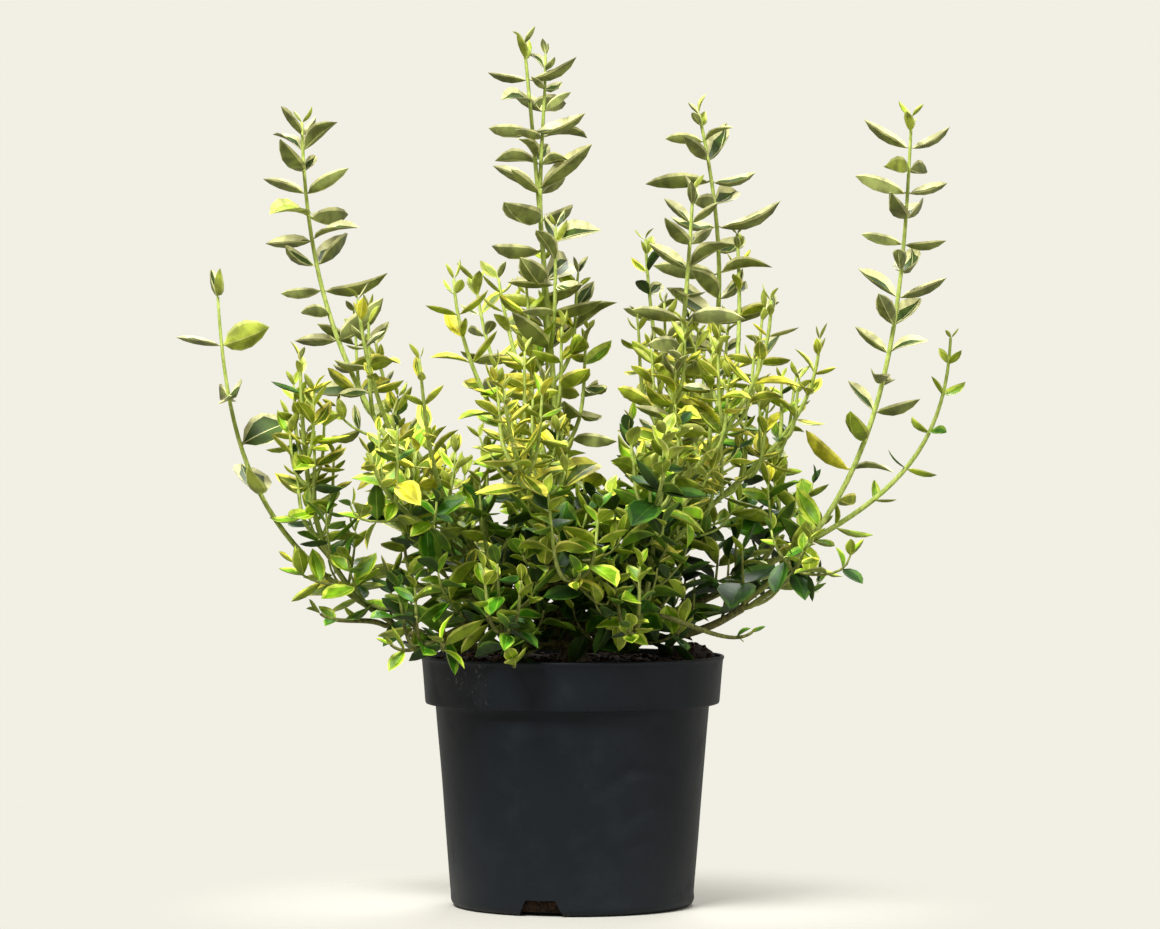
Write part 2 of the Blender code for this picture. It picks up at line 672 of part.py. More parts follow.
def make_stems(collection, cutters, profile, space, ends):
    """The main shoot of every mass, set on its bough's tip. Returns their lines."""
    feet = seats(ends)
    axes = {}
    for name, (bough, kind, tip, lean, hold) in MASSES.items():
        way = ends[bough][1]
        finish = Vector((*lean, 1.0)).normalized()
        start = feet[name] + way * SEAT_LEAD
        axes[name] = [feet[name]] + bend(start, way, Vector(tip), finish, hold, KINDS[kind]["points"])
        mesh = limb_mesh(name, axes[name], SHOOT_FOOT_RADIUS, SHOOT_TIP_RADIUS, cutters, profile)
        add_object(name, mesh, collection)
        space.add(name, mesh, Matrix())
    return axes


def place_leaf(name, blades, space, own, base, way, length, roll):
    """The first small turn of a leaf that clears the limbs and leaves round it, or None."""
    for nudge in NUDGES:
        turned = way.copy()
        turned.rotate(Matrix.Rotation(math.radians(nudge), 3, "Z"))
        matrix = leaf_matrix(base, turned, length, roll)
        if space.clear(name, blades["roomy"], matrix) and own.clear(None, blades["far"], matrix):
            return matrix
    return None


def make_mass(name, axis, stem, cutters, profile, blades, space, chance):
    """Twigs and leaves on one stem, fused. What would touch another limb or leaf is skipped."""
    kind = KINDS[MASSES[name][1]]
    pieces = new_collection(name + "_pieces", hidden=True)
    own = Space()
    own.add(name, stem.data, Matrix())
    leaves, sprouts = grow(
        axis, kind["bare"], kind["spacing"], kind["leaf"], kind["twig_nodes"], 0.0, chance
    )
    if name in TWINS:
        sprouts.append(twin_points(axis, TWINS[name]))
    for index, points in enumerate(sprouts):
        label = f"{name}_twig_{index + 1}"
        mesh = limb_mesh(label, points, TWIG_FOOT_RADIUS, TWIG_TIP_RADIUS, cutters, profile)
        if not space.clear(name, mesh, Matrix()):
            continue
        space.add(name, mesh, Matrix())
        own.add(name, mesh, Matrix())
        add_object(label, mesh, pieces)
        size = kind["leaf"] * TWIG_LEAF_SCALE
        leaves += grow(points, TWIG_BARE, TWIG_SPACING, size, 0, TWIG_TURN, chance)[0]
    for index, leaf in enumerate(leaves):
        matrix = place_leaf(name, blades, space, own, *leaf)
        if matrix is not None:
            space.add(name, blades["whole"], matrix)
            own.add(name, blades["far"], matrix)
            add_object(f"{name}_leaf_{index + 1}", blades["whole"], pieces).matrix_world = matrix
    mesh = fuse(stem, pieces)
    keep_largest_shell(mesh)
    mesh.name = name
    mesh.materials.append(make_material(name, MASSES[name][1]))
    stem.data = mesh


def make_masses(collection, cutters, space, ends):
    profile = make_profile(cutters)
    blades = {
        "whole": leaf_mesh("leaf"),
        "roomy": leaf_mesh("leaf_room", fatter=2.0 * CLEARANCE / KINDS["tall"]["leaf"]),
        "far": leaf_mesh("leaf_far", start=FAR_BLADE),
    }
    axes = make_stems(collection, cutters, profile, space, ends)
    for seed, (name, axis) in enumerate(axes.items()):
        chance = random.Random(seed + 1)
        make_mass(name, axis, bpy.data.objects[name], cutters, profile, blades, space, chance)
    bpy.data.objects.remove(profile, do_unlink=True)


def main():
    clear_scene()
    plant = new_collection("potted_euonymus")
    cutters = new_collection("cutters", hidden=True)
    limbs = [make_pot(plant, cutters), make_soil(plant)]
    trunk = add_object("trunk", trunk_mesh("trunk", 0.0), plant, "bark")
    smooth(trunk)
    ends = make_boughs(plant, cutters)
    limbs += [trunk] + [bpy.data.objects[name] for name in BOUGHS]
    space = Space()
    for limb in limbs:
        space.add("limbs", evaluated_mesh(limb), limb.matrix_world)
    make_masses(plant, cutters, space, ends)


main()
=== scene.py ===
import itertools
import math
import random

import bmesh
import bpy
import numpy as np
from mathutils import Matrix, Vector, noise
from mathutils.bvhtree import BVHTree


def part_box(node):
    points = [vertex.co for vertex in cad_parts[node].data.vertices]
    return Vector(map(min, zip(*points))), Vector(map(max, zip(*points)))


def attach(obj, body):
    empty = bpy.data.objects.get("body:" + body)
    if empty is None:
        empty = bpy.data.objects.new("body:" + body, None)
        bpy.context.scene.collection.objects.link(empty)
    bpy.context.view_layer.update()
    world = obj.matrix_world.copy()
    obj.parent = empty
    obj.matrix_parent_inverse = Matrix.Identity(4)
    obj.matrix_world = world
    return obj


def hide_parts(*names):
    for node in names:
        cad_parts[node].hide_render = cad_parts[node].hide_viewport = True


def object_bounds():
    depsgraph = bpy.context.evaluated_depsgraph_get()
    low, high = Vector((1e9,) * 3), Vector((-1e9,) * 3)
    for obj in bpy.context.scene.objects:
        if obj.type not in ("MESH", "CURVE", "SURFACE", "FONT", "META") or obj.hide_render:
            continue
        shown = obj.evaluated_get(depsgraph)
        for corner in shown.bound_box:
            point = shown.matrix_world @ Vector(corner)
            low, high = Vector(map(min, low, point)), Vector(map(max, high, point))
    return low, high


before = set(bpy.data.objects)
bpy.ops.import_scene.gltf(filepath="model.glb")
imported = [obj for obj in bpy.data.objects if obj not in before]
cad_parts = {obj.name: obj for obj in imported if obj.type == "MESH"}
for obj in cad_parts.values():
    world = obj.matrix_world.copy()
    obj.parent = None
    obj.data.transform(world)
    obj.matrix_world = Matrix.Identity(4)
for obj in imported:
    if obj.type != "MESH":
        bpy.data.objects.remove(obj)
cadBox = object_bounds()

up = Vector((0.0, 0.0, 1.0))
across = Vector((1.0, 0.0, 0.0))
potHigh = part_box("pot")[1]


# A node's output; Python's operators on it add the Math nodes
class Socket:
    def __init__(self, finish, output):
        self.finish = finish
        self.output = output

    def maths(self, operation, first, second=0.0):
        return self.finish.add("ShaderNodeMath", {"operation": operation}, {0: first, 1: second})

    def __add__(self, other):
        return self.maths("ADD", self, other)

    def __radd__(self, other):
        return self.maths("ADD", other, self)

    def __sub__(self, other):
        return self.maths("SUBTRACT", self, other)

    def __rsub__(self, other):
        return self.maths("SUBTRACT", other, self)

    def __mul__(self, other):
        return self.maths("MULTIPLY", self, other)

    def __rmul__(self, other):
        return self.maths("MULTIPLY", other, self)


# One material; every other node comes from add: its type, its settings, then its inputs
class Finish:
    def __init__(self, name):
        self.material = bpy.data.materials.new(name)
        self.material.use_nodes = True
        self.tree = self.material.node_tree
        self.shader = self.tree.nodes["Principled BSDF"]

    def add(self, kind, settings=None, inputs=None, output=0):
        node = self.tree.nodes.new(kind)
        for key, value in (settings or {}).items():
            setattr(node, key, value)
        for key, value in (inputs or {}).items():
            self.feed(node.inputs[key], value)
        return Socket(self, node.outputs[output])

    def feed(self, target, value):
        if isinstance(value, Socket):
            self.tree.links.new(value.output, target)
        else:
            target.default_value = value

    def place(self, stretch=(1.0, 1.0, 1.0)):
        spot = self.add("ShaderNodeTexCoord", output="Object")
        return self.add("ShaderNodeMapping", {}, {"Vector": spot, "Scale": stretch})

    def grain(self, place, scale, detail=3.0, roughness=0.5):
        inputs = {"Vector": place, "Scale": scale, "Detail": detail, "Roughness": roughness}
        return self.add("ShaderNodeTexNoise", {}, inputs)

    def spread(self, value, low, high, to=(0.0, 1.0)):
        inputs = {0: value, 1: low, 2: high, 3: to[0], 4: to[1]}
        return self.add("ShaderNodeMapRange", {"interpolation_type": "SMOOTHSTEP"}, inputs)

    def mix(self, share, first, second):
        inputs = {0: share, 6: first, 7: second}
        return self.add("ShaderNodeMix", {"data_type": "RGBA"}, inputs, output=2)

    def bump(self, height, distance, strength=1.0):
        inputs = {"Height": height, "Distance": distance, "Strength": strength}
        self.feed(self.shader.inputs["Normal"], self.add("ShaderNodeBump", {}, inputs))

    def set(self, key, value):
        self.feed(self.shader.inputs[key], value)


def linear(red, green, blue):
    # A colour given in the usual 0 to 255, as the shader wants it
    values = []
    for part in (red, green, blue):
        share = part / 255.0
        values.append(share / 12.92 if share <= 0.04045 else ((share + 0.055) / 1.055) ** 2.4)
    return (*values, 1.0)


def linked(name, data):
    item = bpy.data.objects.new(name, data)
    bpy.context.scene.collection.objects.link(item)
    return item


def finished(name, mesh, materials, slotName, *nodes):
    # A finished piece rides the one body and stands for the nodes named
    item = linked(name, mesh)
    for material in materials:
        mesh.materials.append(material)
    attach(item, "root")
    if nodes:
        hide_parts(*nodes)
    return item


def meshOf(shape, name):
    mesh = bpy.data.meshes.new(name)
    shape.to_mesh(mesh)
    shape.free()
    return mesh


def smoothed(mesh, sharpest):
    # Smooth all over, but for the edges past this angle
    mesh.shade_smooth()
    mesh.set_sharp_from_angle(angle=math.radians(sharpest))


def evaluated(item):
    bpy.context.view_layer.update()
    graph = bpy.context.evaluated_depsgraph_get()
    mesh = bpy.data.meshes.new_from_object(item.evaluated_get(graph))
    bpy.data.objects.remove(item, do_unlink=True)
    return mesh


def spun(profile, steps):
    # Turns a profile of (radius, height) pairs about the upright axis
    shape = bmesh.new()
    points = [shape.verts.new((radius, 0.0, height)) for radius, height in profile]
    edges = [shape.edges.new(pair) for pair in zip(points, points[1:])]
    bmesh.ops.spin(
        shape, geom=points + edges, cent=(0, 0, 0), axis=(0, 0, 1), angle=math.tau,
        steps=steps, use_merge=True,
    )
    bmesh.ops.remove_doubles(shape, verts=shape.verts, dist=0.00001)
    bmesh.ops.recalc_face_normals(shape, faces=shape.faces)
    return shape


def filled(profile, step):
    # Adds points along the long stretches of a profile
    line = [profile[0]]
    for (radiusA, heightA), (radiusB, heightB) in zip(profile, profile[1:]):
        count = max(1, round(math.hypot(radiusB - radiusA, heightB - heightA) / step))
        for index in range(1, count + 1):
            share = index / count
            line.append((radiusA + (radiusB - radiusA) * share, heightA + (heightB - heightA) * share))
    return line


# The camera stands where the photograph was taken from
cameraPlace = {
    "from": (0.0042, -2.55, 0.272), "at": (0.0042, 0.0, 0.2467), "lens": 141.3, "sensor": 36.0,
}
lights = {
    "keyLight": {"from": (-0.9, -1.7, 2.6), "size": 1.0, "power": 168.0},
    "fillLight": {"from": (1.9, -1.6, 1.0), "size": 1.8, "power": 20.0},
    "backLight": {"from": (0.5, 2.0, 2.0), "size": 1.2, "power": 60.0},
}
stage = {
    "radius": 1.6, "fadeFrom": 0.07, "fadeTo": 0.25, "wall": (242, 239, 228), "wallLight": 0.58,
    "floor": (184, 182, 173), "middle": (0.0, 0.0, 0.25),
}


def makeStage():
    scene = bpy.context.scene
    scene.view_settings.view_transform = "Standard"
    camera = linked("photoCamera", bpy.data.cameras.new("photoCamera"))
    camera.data.lens = cameraPlace["lens"]
    camera.data.sensor_width = cameraPlace["sensor"]
    camera.location = cameraPlace["from"]
    sight = Vector(cameraPlace["at"]) - camera.location
    camera.rotation_euler = sight.to_track_quat("-Z", "Y").to_euler()
    scene.camera = camera
    for name, spec in lights.items():
        lamp = linked(name, bpy.data.lights.new(name, "AREA"))
        lamp.data.energy = spec["power"]
        lamp.data.size = spec["size"]
        lamp.location = spec["from"]
        aim = Vector(stage["middle"]) - lamp.location
        lamp.rotation_euler = aim.to_track_quat("-Z", "Y").to_euler()
    world = bpy.data.worlds.new("paleRoom")
    world.use_nodes = True
    background = world.node_tree.nodes["Background"]
    background.inputs["Color"].default_value = linear(*stage["wall"])
    # The wall is seen at its full brightness and lights the plant less
    seen = world.node_tree.nodes.new("ShaderNodeLightPath").outputs["Is Camera Ray"]
    strength = world.node_tree.nodes.new("ShaderNodeMapRange")
    strength.inputs["To Min"].default_value = stage["wallLight"]
    world.node_tree.links.new(seen, strength.inputs["Value"])
    world.node_tree.links.new(strength.outputs["Result"], background.inputs["Strength"])
    scene.world = world
    shape = bmesh.new()
    bmesh.ops.create_circle(shape, cap_ends=True, segments=96, radius=stage["radius"])
    floor = linked("paleFloor", meshOf(shape, "paleFloor"))
    finish = Finish("paleFloor")
    reach = finish.add(
        "ShaderNodeVectorMath", {"operation": "LENGTH"}, {0: finish.place()}, output="Value"
    )
    finish.set("Base Color", linear(*stage["floor"]))
    finish.set("Roughness", 0.9)
    finish.set("Alpha", 1.0 - finish.spread(reach, stage["fadeFrom"], stage["fadeTo"]))
    floor.data.materials.append(finish.material)
    print("stage done")


# Pot: the collar, lip and taper of the nursery container, with shallow dents in its wall
pot = {
    "wall": 0.0015,
    "lipDepth": 0.0017,
    "collarTop": 0.0843,
    "collarLow": 0.0825,
    "collarHeight": 0.027,
    "bodyTop": 0.0767,
    "base": 0.0682,
    "baseRounding": 0.0045,
    "roundingAngles": (4.0, -90.0),
    "roundingSteps": 6,
    "steps": 180,
    "rowStep": 0.003,
    "notchBearings": (255.0, 15.0, 135.0),
    "notchWidth": 0.028,
    "notchTopWidth": 0.017,
    "notchHeight": 0.009,
    "notchDepth": 0.014,
    "dentDepth": 0.0007,
    "dentWidth": 0.0026,
    "wobble": 0.0004,
    "wobbleSize": 0.045,
    "wobbleLevel": 0.6,
    "wobbleFrom": 0.05,
    "rimFade": 0.02,
    # centre of the painted highlight on the front left of the collar
    "highlightSpot": (-0.058, -0.061, 0.126),
}
# Creases pressed into the front of the wall, as places across and above the foot
potDents = {
    "longCrease": ((0.0103, 0.0641), (0.0322, 0.0804), (0.0530, 0.0776)),
    "shortCrease": ((0.0260, 0.0512), (0.0429, 0.0596)),
    "lowCrease": ((0.0311, 0.0377), (0.0434, 0.0416)),
    "upperSpot": ((0.0053, 0.0349), (0.0058, 0.0346)),
    "lowerSpot": ((0.0075, 0.0265), (0.0080, 0.0262)),
}


def segmentGap(x, z, start, end):
    spanX, spanZ = end[0] - start[0], end[1] - start[1]
    share = ((x - start[0]) * spanX + (z - start[1]) * spanZ) / (spanX**2 + spanZ**2)
    share = min(1.0, max(0.0, share))
    return math.hypot(x - start[0] - spanX * share, z - start[1] - spanZ * share)


def plasticFinish():
    finish = Finish("blackNurseryPlastic")
    place = finish.place()
    fine = finish.grain(place, 900.0, 4.0, 0.6)
    cloud = finish.grain(place, 38.0, 5.0, 0.62)
    dust = finish.spread(cloud, 0.46, 0.74)
    # Painted highlight: the front left of the collar is painted a lighter grey where the light falls, made
    # rougher there and flecked with pale specks
    gap = finish.add(
        "ShaderNodeVectorMath", {"operation": "DISTANCE"}, {0: place, 1: pot["highlightSpot"]}, output="Value"
    )
    highlightPatch = (1.0 - finish.spread(gap, 0.006, 0.026)) * finish.spread(cloud, 0.38, 0.62)
    specks = finish.spread(finish.grain(place, 420.0, 2.0), 0.63, 0.70) * highlightPatch
    base = finish.mix(dust * 0.55, linear(17, 22, 27), linear(27, 32, 38))
    # the painted highlight's lighter grey, mixed in over the patch
    highlighted = finish.mix(highlightPatch * 0.45, base, linear(58, 60, 62))
    finish.set("Base Color", finish.mix(specks * 0.8, highlighted, linear(112, 110, 102)))
    finish.set("Roughness", 0.47 + dust * 0.16 + highlightPatch * 0.2)
    finish.set("Specular IOR Level", 0.17)
    finish.bump(fine * 0.35 + cloud * 0.65, 0.0006, 0.5)
    return finish.material


def makePot():
    height, lip = potHigh.z, potHigh.x
    ledge = height - pot["collarHeight"]
    wall, rounding = pot["wall"], pot["baseRounding"]
    corner = (pot["base"] - rounding, rounding)
    foot = []
    startAngle, endAngle = pot["roundingAngles"]
    for index in range(pot["roundingSteps"] + 1):
        angle = math.radians(startAngle + (endAngle - startAngle) * index / pot["roundingSteps"])
        foot.append((corner[0] + rounding * math.cos(angle), corner[1] + rounding * math.sin(angle)))
    profile = [
        (0.0, wall), (corner[0], wall), (pot["base"] - wall + 0.0003, rounding + wall),
        (pot["bodyTop"] - wall, ledge + wall), (pot["collarLow"] - wall, ledge + wall),
        (pot["collarTop"] - wall, height - pot["lipDepth"]),
        (pot["collarTop"] - wall + 0.0003, height - 0.0003), (pot["collarTop"] - wall + 0.0007, height),
        (lip - 0.0005, height), (lip, height - 0.0005), (lip, height - pot["lipDepth"] + 0.0003),
        (lip - 0.0003, height - pot["lipDepth"]), (pot["collarTop"], height - 2 * pot["lipDepth"]),
        (pot["collarLow"], ledge + wall), (pot["collarLow"] - 0.0004, ledge + 0.0004),
        (pot["collarLow"] - wall, ledge), (pot["bodyTop"] + 0.0006, ledge),
        (pot["bodyTop"], ledge - 0.0008),
    ]
    shape = spun(filled(profile + foot + [(0.0, 0.0)], pot["rowStep"]), pot["steps"])
    for vert in shape.verts:
        radius = math.hypot(vert.co.x, vert.co.y)
        if radius < pot["wobbleFrom"] or vert.co.z < rounding * 1.5:
            continue
        depth = pot["wobble"] * (noise.noise(vert.co / pot["wobbleSize"]) - pot["wobbleLevel"])
        depth = min(0.0, depth) * min(1.0, (height - vert.co.z) / pot["rimFade"])
        if vert.co.y < 0.0:
            for line in potDents.values():
                for start, end in zip(line, line[1:]):
                    gap = segmentGap(vert.co.x, vert.co.z, start, end)
                    depth -= pot["dentDepth"] * math.exp(-((gap / pot["dentWidth"]) ** 2))
        vert.co.x *= 1.0 + depth / radius
        vert.co.y *= 1.0 + depth / radius
    shell = linked("potShell", meshOf(shape, "potShell"))
    cutters = []
    for bearing in pot["notchBearings"]:
        block = bmesh.new()
        bmesh.ops.create_cube(block, size=1.0)
        for vert in block.verts:
            upper = vert.co.z > 0.0
            vert.co.x *= 2.0 * pot["notchDepth"]
            vert.co.y *= pot["notchTopWidth"] if upper else pot["notchWidth"]
            vert.co.z = pot["notchHeight"] if upper else -pot["notchHeight"] / 4.0
        bmesh.ops.translate(block, verts=block.verts, vec=(pot["base"], 0.0, 0.0))
        turn = Matrix.Rotation(math.radians(bearing), 3, "Z")
        bmesh.ops.rotate(block, verts=block.verts, cent=(0, 0, 0), matrix=turn)
        cutter = linked("notchCutter", meshOf(block, "notchCutter"))
        cut = shell.modifiers.new("Notch", "BOOLEAN")
        cut.operation = "DIFFERENCE"
        cut.object = cutter
        cutters.append(cutter)
    mesh = evaluated(shell)
    for cutter in cutters:
        bpy.data.objects.remove(cutter, do_unlink=True)
    smoothed(mesh, 40.0)
    finished("potShell", mesh, [plasticFinish()], "pot", "pot")
    print("pot done")


# Compost: a lumpy fill with crumbs and bits of bark on it
compost = {
    "level": 0.1362,
    "flat": 0.014,
    "lump": 0.0022,
    "lumpSize": 0.016,
    "fine": 0.0013,
    "fineSize": 0.0042,
    "mound": (0.066, 0.026),
    "moundRadius": 0.022,
    "moundHeight": 0.0085,
    "steps": 120,
    "rowStep": 0.002,
    "seed": 11,
    "crumbs": 520,
    "crumbSize": (0.0009, 0.0026),
    "crumbBreadth": (0.5, 0.9),
    "crumbHeight": (0.4, 0.8),
    "crumbTilt": 0.5,
    "crumbLift": 0.2,
}


def compostHeight(x, y):
    place = Vector((x, y, 0.0))
    away = math.hypot(x - compost["mound"][0], y - compost["mound"][1])
    mound = max(0.0, 1.0 - (away / compost["moundRadius"]) ** 2)
    height = compost["level"] + compost["moundHeight"] * mound
    height += compost["lump"] * noise.noise(place / compost["lumpSize"])
    return height + compost["fine"] * noise.noise(place / compost["fineSize"])


def soilFinish(name, dark, light):
    finish = Finish(name)
    place = finish.place()
    clods = finish.grain(place, 210.0, 6.0, 0.68)
    bits = finish.spread(finish.grain(place, 620.0, 2.0), 0.60, 0.68)
    base = finish.mix(finish.spread(clods, 0.36, 0.66), linear(*dark), linear(*light))
    finish.set("Base Color", finish.mix(bits * 0.5, base, linear(86, 62, 44)))
    finish.set("Roughness", 0.90 + clods * 0.1)
    finish.set("Specular IOR Level", 0.1)
    finish.bump(clods, 0.0014, 0.9)
    return finish.material


def makeCompost():
    ledge = potHigh.z - pot["collarHeight"]
    clear = pot["wall"] + 0.0006
    rim = pot["collarTop"] - clear - 0.0006
    top = filled([(0.0, compost["level"]), (rim, compost["level"] - 0.0006)], compost["rowStep"])
    side = [
        (pot["collarLow"] - clear, ledge + clear), (pot["bodyTop"] - clear, ledge + clear),
        (pot["base"] - clear, pot["baseRounding"] + clear),
        (pot["base"] - pot["baseRounding"], clear), (0.0, clear),
    ]
    shape = spun(top + side, compost["steps"])
    for vert in shape.verts:
        radius = math.hypot(vert.co.x, vert.co.y)
        if vert.co.z > compost["level"] - 0.001 and radius > compost["flat"]:
            vert.co.z = compostHeight(vert.co.x, vert.co.y)
    mesh = meshOf(shape, "compost")
    mesh.shade_smooth()
    finished("compost", mesh, [soilFinish("darkCompost", (16, 11, 8), (42, 29, 20))], "soil", "soil")
    chance = random.Random(compost["seed"])
    shape = bmesh.new()
    for _ in range(compost["crumbs"]):
        reach = compost["flat"] + (rim - 0.003 - compost["flat"]) * math.sqrt(chance.random())
        angle = chance.uniform(0.0, math.tau)
        x, y = reach * math.cos(angle), reach * math.sin(angle)
        size = chance.uniform(*compost["crumbSize"])
        broad, high = chance.uniform(*compost["crumbBreadth"]), chance.uniform(*compost["crumbHeight"])
        stretch = Matrix.Diagonal((size, size * broad, size * high, 1.0))
        turn = Matrix.Rotation(chance.uniform(0.0, math.tau), 4, "Z")
        tilt = Matrix.Rotation(chance.uniform(-compost["crumbTilt"], compost["crumbTilt"]), 4, "X")
        rest = compostHeight(x, y) + size * compost["crumbLift"]
        place = Matrix.Translation((x, y, rest)) @ turn @ tilt @ stretch
        made = bmesh.ops.create_icosphere(shape, subdivisions=1, radius=1.0)
        for vert in made["verts"]:
            vert.co *= 1.0 + 0.35 * noise.noise(vert.co * 1.3 + Vector((x, y, size)) * 700.0)
        bmesh.ops.transform(shape, matrix=place, verts=made["verts"])
    mesh = meshOf(shape, "compostCrumbs")
    finished("compostCrumbs", mesh, [soilFinish("crumbs", (26, 18, 12), (64, 45, 30))], "soil")
    print("compost done")


# The limbs, by the rule of the plant's solids: a trunk, and boughs that part from it at points
# up its height
trunk = {
    "height": 0.0285,
    "foot": 0.0098,
    "neck": 0.0064,
    "top": 0.0056,
    "flareHeight": 0.006,
    "lobes": 5,
    "lobeDepth": 0.12,
    "lean": (0.0016, -0.0008),
    "sides": 48,
    "rings": 26,
    "barkDepth": 0.00055,
}
bough = {
    "foot": 0.0023, "tip": 0.0021, "hold": 0.36, "points": 22, "seatLead": 0.0025,
    "barkDepth": 0.00022, "gap": 0.0003, "knot": 1.22, "end": 0.75, "resolution": 4,
    "ridges": 900.0, "cracks": 1900.0,
}
# Boughs: tip, height at which each leaves the trunk, and the angles from upright at both ends
boughs = {
    "bough_left_low": ((-0.101, -0.012, 0.158), 0.0080, 86, 60),
    "bough_right_low": ((0.096, -0.014, 0.168), 0.0080, 84, 54),
    "bough_low_front_left": ((-0.034, -0.046, 0.160), 0.0085, 78, 50),
    "bough_low_front_right": ((0.034, -0.048, 0.160), 0.0090, 78, 50),
    "bough_back_left": ((-0.042, 0.040, 0.182), 0.0100, 62, 40),
    "bough_back_right": ((0.038, 0.038, 0.186), 0.0105, 58, 34),
    "bough_right_arch": ((0.092, 0.020, 0.179), 0.0140, 78, 62),
    "bough_back": ((-0.006, 0.044, 0.186), 0.0145, 58, 34),
    "bough_front": ((-0.010, -0.038, 0.187), 0.0160, 54, 26),
    "bough_left_rising": ((-0.048, 0.006, 0.186), 0.0165, 64, 42),
    "bough_front_right": ((0.032, -0.036, 0.190), 0.0175, 56, 30),
    "bough_left_front": ((-0.046, -0.034, 0.187), 0.0215, 66, 44),
    "bough_right_mid": ((0.046, 0.002, 0.193), 0.0215, 62, 40),
    "bough_centre": ((-0.004, -0.004, 0.196), 0.0250, 12, 6),
}
# Masses: bough, kind, tip of the main shoot, lean at the tip sideways and depthways, hold
masses = {
    "mass_left_arching": ("bough_left_low", "tall", (-0.197, -0.020, 0.340), (-0.06, 0.0), 0.42),
    "mass_left_fan": ("bough_left_low", "medium", (-0.150, -0.045, 0.304), (-0.05, -0.05), 0.36),
    "mass_left_low": ("bough_left_low", "low", (-0.140, -0.022, 0.164), (-1.2, -0.1), 0.30),
    "mass_left_tall": ("bough_left_rising", "tall", (-0.153, 0.025, 0.440), (-0.02, 0.0), 0.40),
    "mass_left_inner": ("bough_left_rising", "medium", (-0.118, -0.046, 0.338), (-0.1, -0.1), 0.36),
    "mass_left_front": ("bough_left_front", "low", (-0.108, -0.116, 0.254), (-0.2, -0.3), 0.34),
    "mass_left_middle": ("bough_left_front", "medium", (-0.081, -0.138, 0.304), (-0.1, -0.2), 0.36),
    "mass_left_skirt": ("bough_low_front_left", "low", (-0.098, -0.088, 0.150), (-1.0, -0.9), 0.34),
    "mass_front_low_left": ("bough_low_front_left", "low", (-0.050, -0.068, 0.228), (-0.1, -0.2), 0.34),
    "mass_front_rim_left": ("bough_low_front_left", "low", (-0.034, -0.110, 0.160), (0.1, -1.2), 0.34),
    "mass_back_left_high": ("bough_back_left", "medium", (-0.114, 0.088, 0.316), (-0.15, 0.1), 0.36),
    "mass_back_left_low": ("bough_back_left", "low", (-0.100, 0.130, 0.240), (-0.3, 0.4), 0.34),
    "mass_back_left_skirt": ("bough_back_left", "low", (-0.100, 0.078, 0.176), (-1.0, 0.6), 0.32),
    "mass_centre_tall": ("bough_centre", "tall", (-0.027, -0.005, 0.482), (-0.10, 0.0), 0.38),
    "mass_centre_left": ("bough_centre", "medium", (-0.042, 0.030, 0.352), (-0.15, 0.1), 0.36),
    "mass_front_left": ("bough_front", "medium", (-0.064, -0.090, 0.348), (-0.05, -0.1), 0.38),
    "mass_front_centre": ("bough_front", "medium", (-0.036, -0.150, 0.288), (-0.1, -0.25), 0.36),
    "mass_front_skirt": ("bough_front", "low", (0.004, -0.122, 0.190), (0.1, -1.2), 0.36),
    "mass_front_right_tall": ("bough_front_right", "tall", (0.066, -0.060, 0.397), (0.06, 0.0), 0.38),
    "mass_front_right_low": ("bough_front_right", "low", (0.050, -0.142, 0.250), (0.2, -0.35), 0.34),
    "mass_right_front": ("bough_front_right", "medium", (0.107, -0.100, 0.336), (0.0, -0.1), 0.38),
    "mass_front_low_right": ("bough_low_front_right", "low", (0.046, -0.070, 0.226), (0.1, -0.2), 0.34),
    "mass_front_rim_right": ("bough_low_front_right", "low", (0.030, -0.112, 0.160), (-0.1, -1.2), 0.34),
    "mass_right_front_skirt": ("bough_low_front_right", "low", (0.098, -0.070, 0.156), (1.2, -0.7), 0.34),
    "mass_back_high": ("bough_back", "medium", (-0.056, 0.088, 0.352), (-0.1, 0.1), 0.36),
    "mass_back_low": ("bough_back", "low", (-0.022, 0.156, 0.262), (-0.1, 0.4), 0.34),
    "mass_back_skirt": ("bough_back", "low", (0.014, 0.112, 0.206), (0.2, 0.8), 0.36),
    "mass_right_centre_tall": ("bough_back_right", "tall", (0.072, 0.045, 0.446), (-0.22, 0.0), 0.42),
    "mass_back_centre": ("bough_back_right", "medium", (0.042, 0.082, 0.376), (-0.04, 0.1), 0.38),
    "mass_back_right_low": ("bough_back_right", "low", (0.070, 0.150, 0.256), (0.2, 0.4), 0.34),
    "mass_right_inner": ("bough_right_mid", "medium", (0.094, 0.052, 0.378), (-0.05, 0.0), 0.38),
    "mass_right_medium": ("bough_right_mid", "medium", (0.136, -0.046, 0.316), (0.05, -0.05), 0.38),
    "mass_right_tall": ("bough_right_low", "tall", (0.188, -0.025, 0.440), (0.05, 0.0), 0.36),
    "mass_right_skirt": ("bough_right_low", "low", (0.128, -0.096, 0.208), (0.4, -0.5), 0.34),
    "mass_right_arching": ("bough_right_arch", "tall", (0.214, 0.028, 0.318), (0.04, 0.0), 0.44),
    "mass_right_back": ("bough_right_arch", "low", (0.122, 0.110, 0.258), (0.2, 0.4), 0.34),
    "mass_right_low": ("bough_right_arch", "low", (0.126, 0.064, 0.190), (1.0, 0.6), 0.32),
}
# A second tip beside a shoot's own, which parts from it this far below the tip
twins = {
    "mass_centre_tall": {
        "parts": 0.082, "beside": (0.0120, 0.0020, -0.0060), "hold": 0.33, "points": 12,
    },
}


def trunkCentre(share):
    return Vector((trunk["lean"][0] * share, trunk["lean"][1] * share, 0.0))


def bend(foot, way, tip, finish, hold, count):
    # Points of one smooth bend that leaves foot along way and reaches tip along finish
    reach = (tip - foot).length * hold
    first, second = foot + way * reach, tip - finish * reach
    points = []
    for index in range(count):
        share = index / (count - 1)
        rest = 1.0 - share
        inner = first * 3.0 * rest**2 * share + second * 3.0 * rest * share**2
        points.append(foot * rest**3 + inner + tip * share**3)
    return points


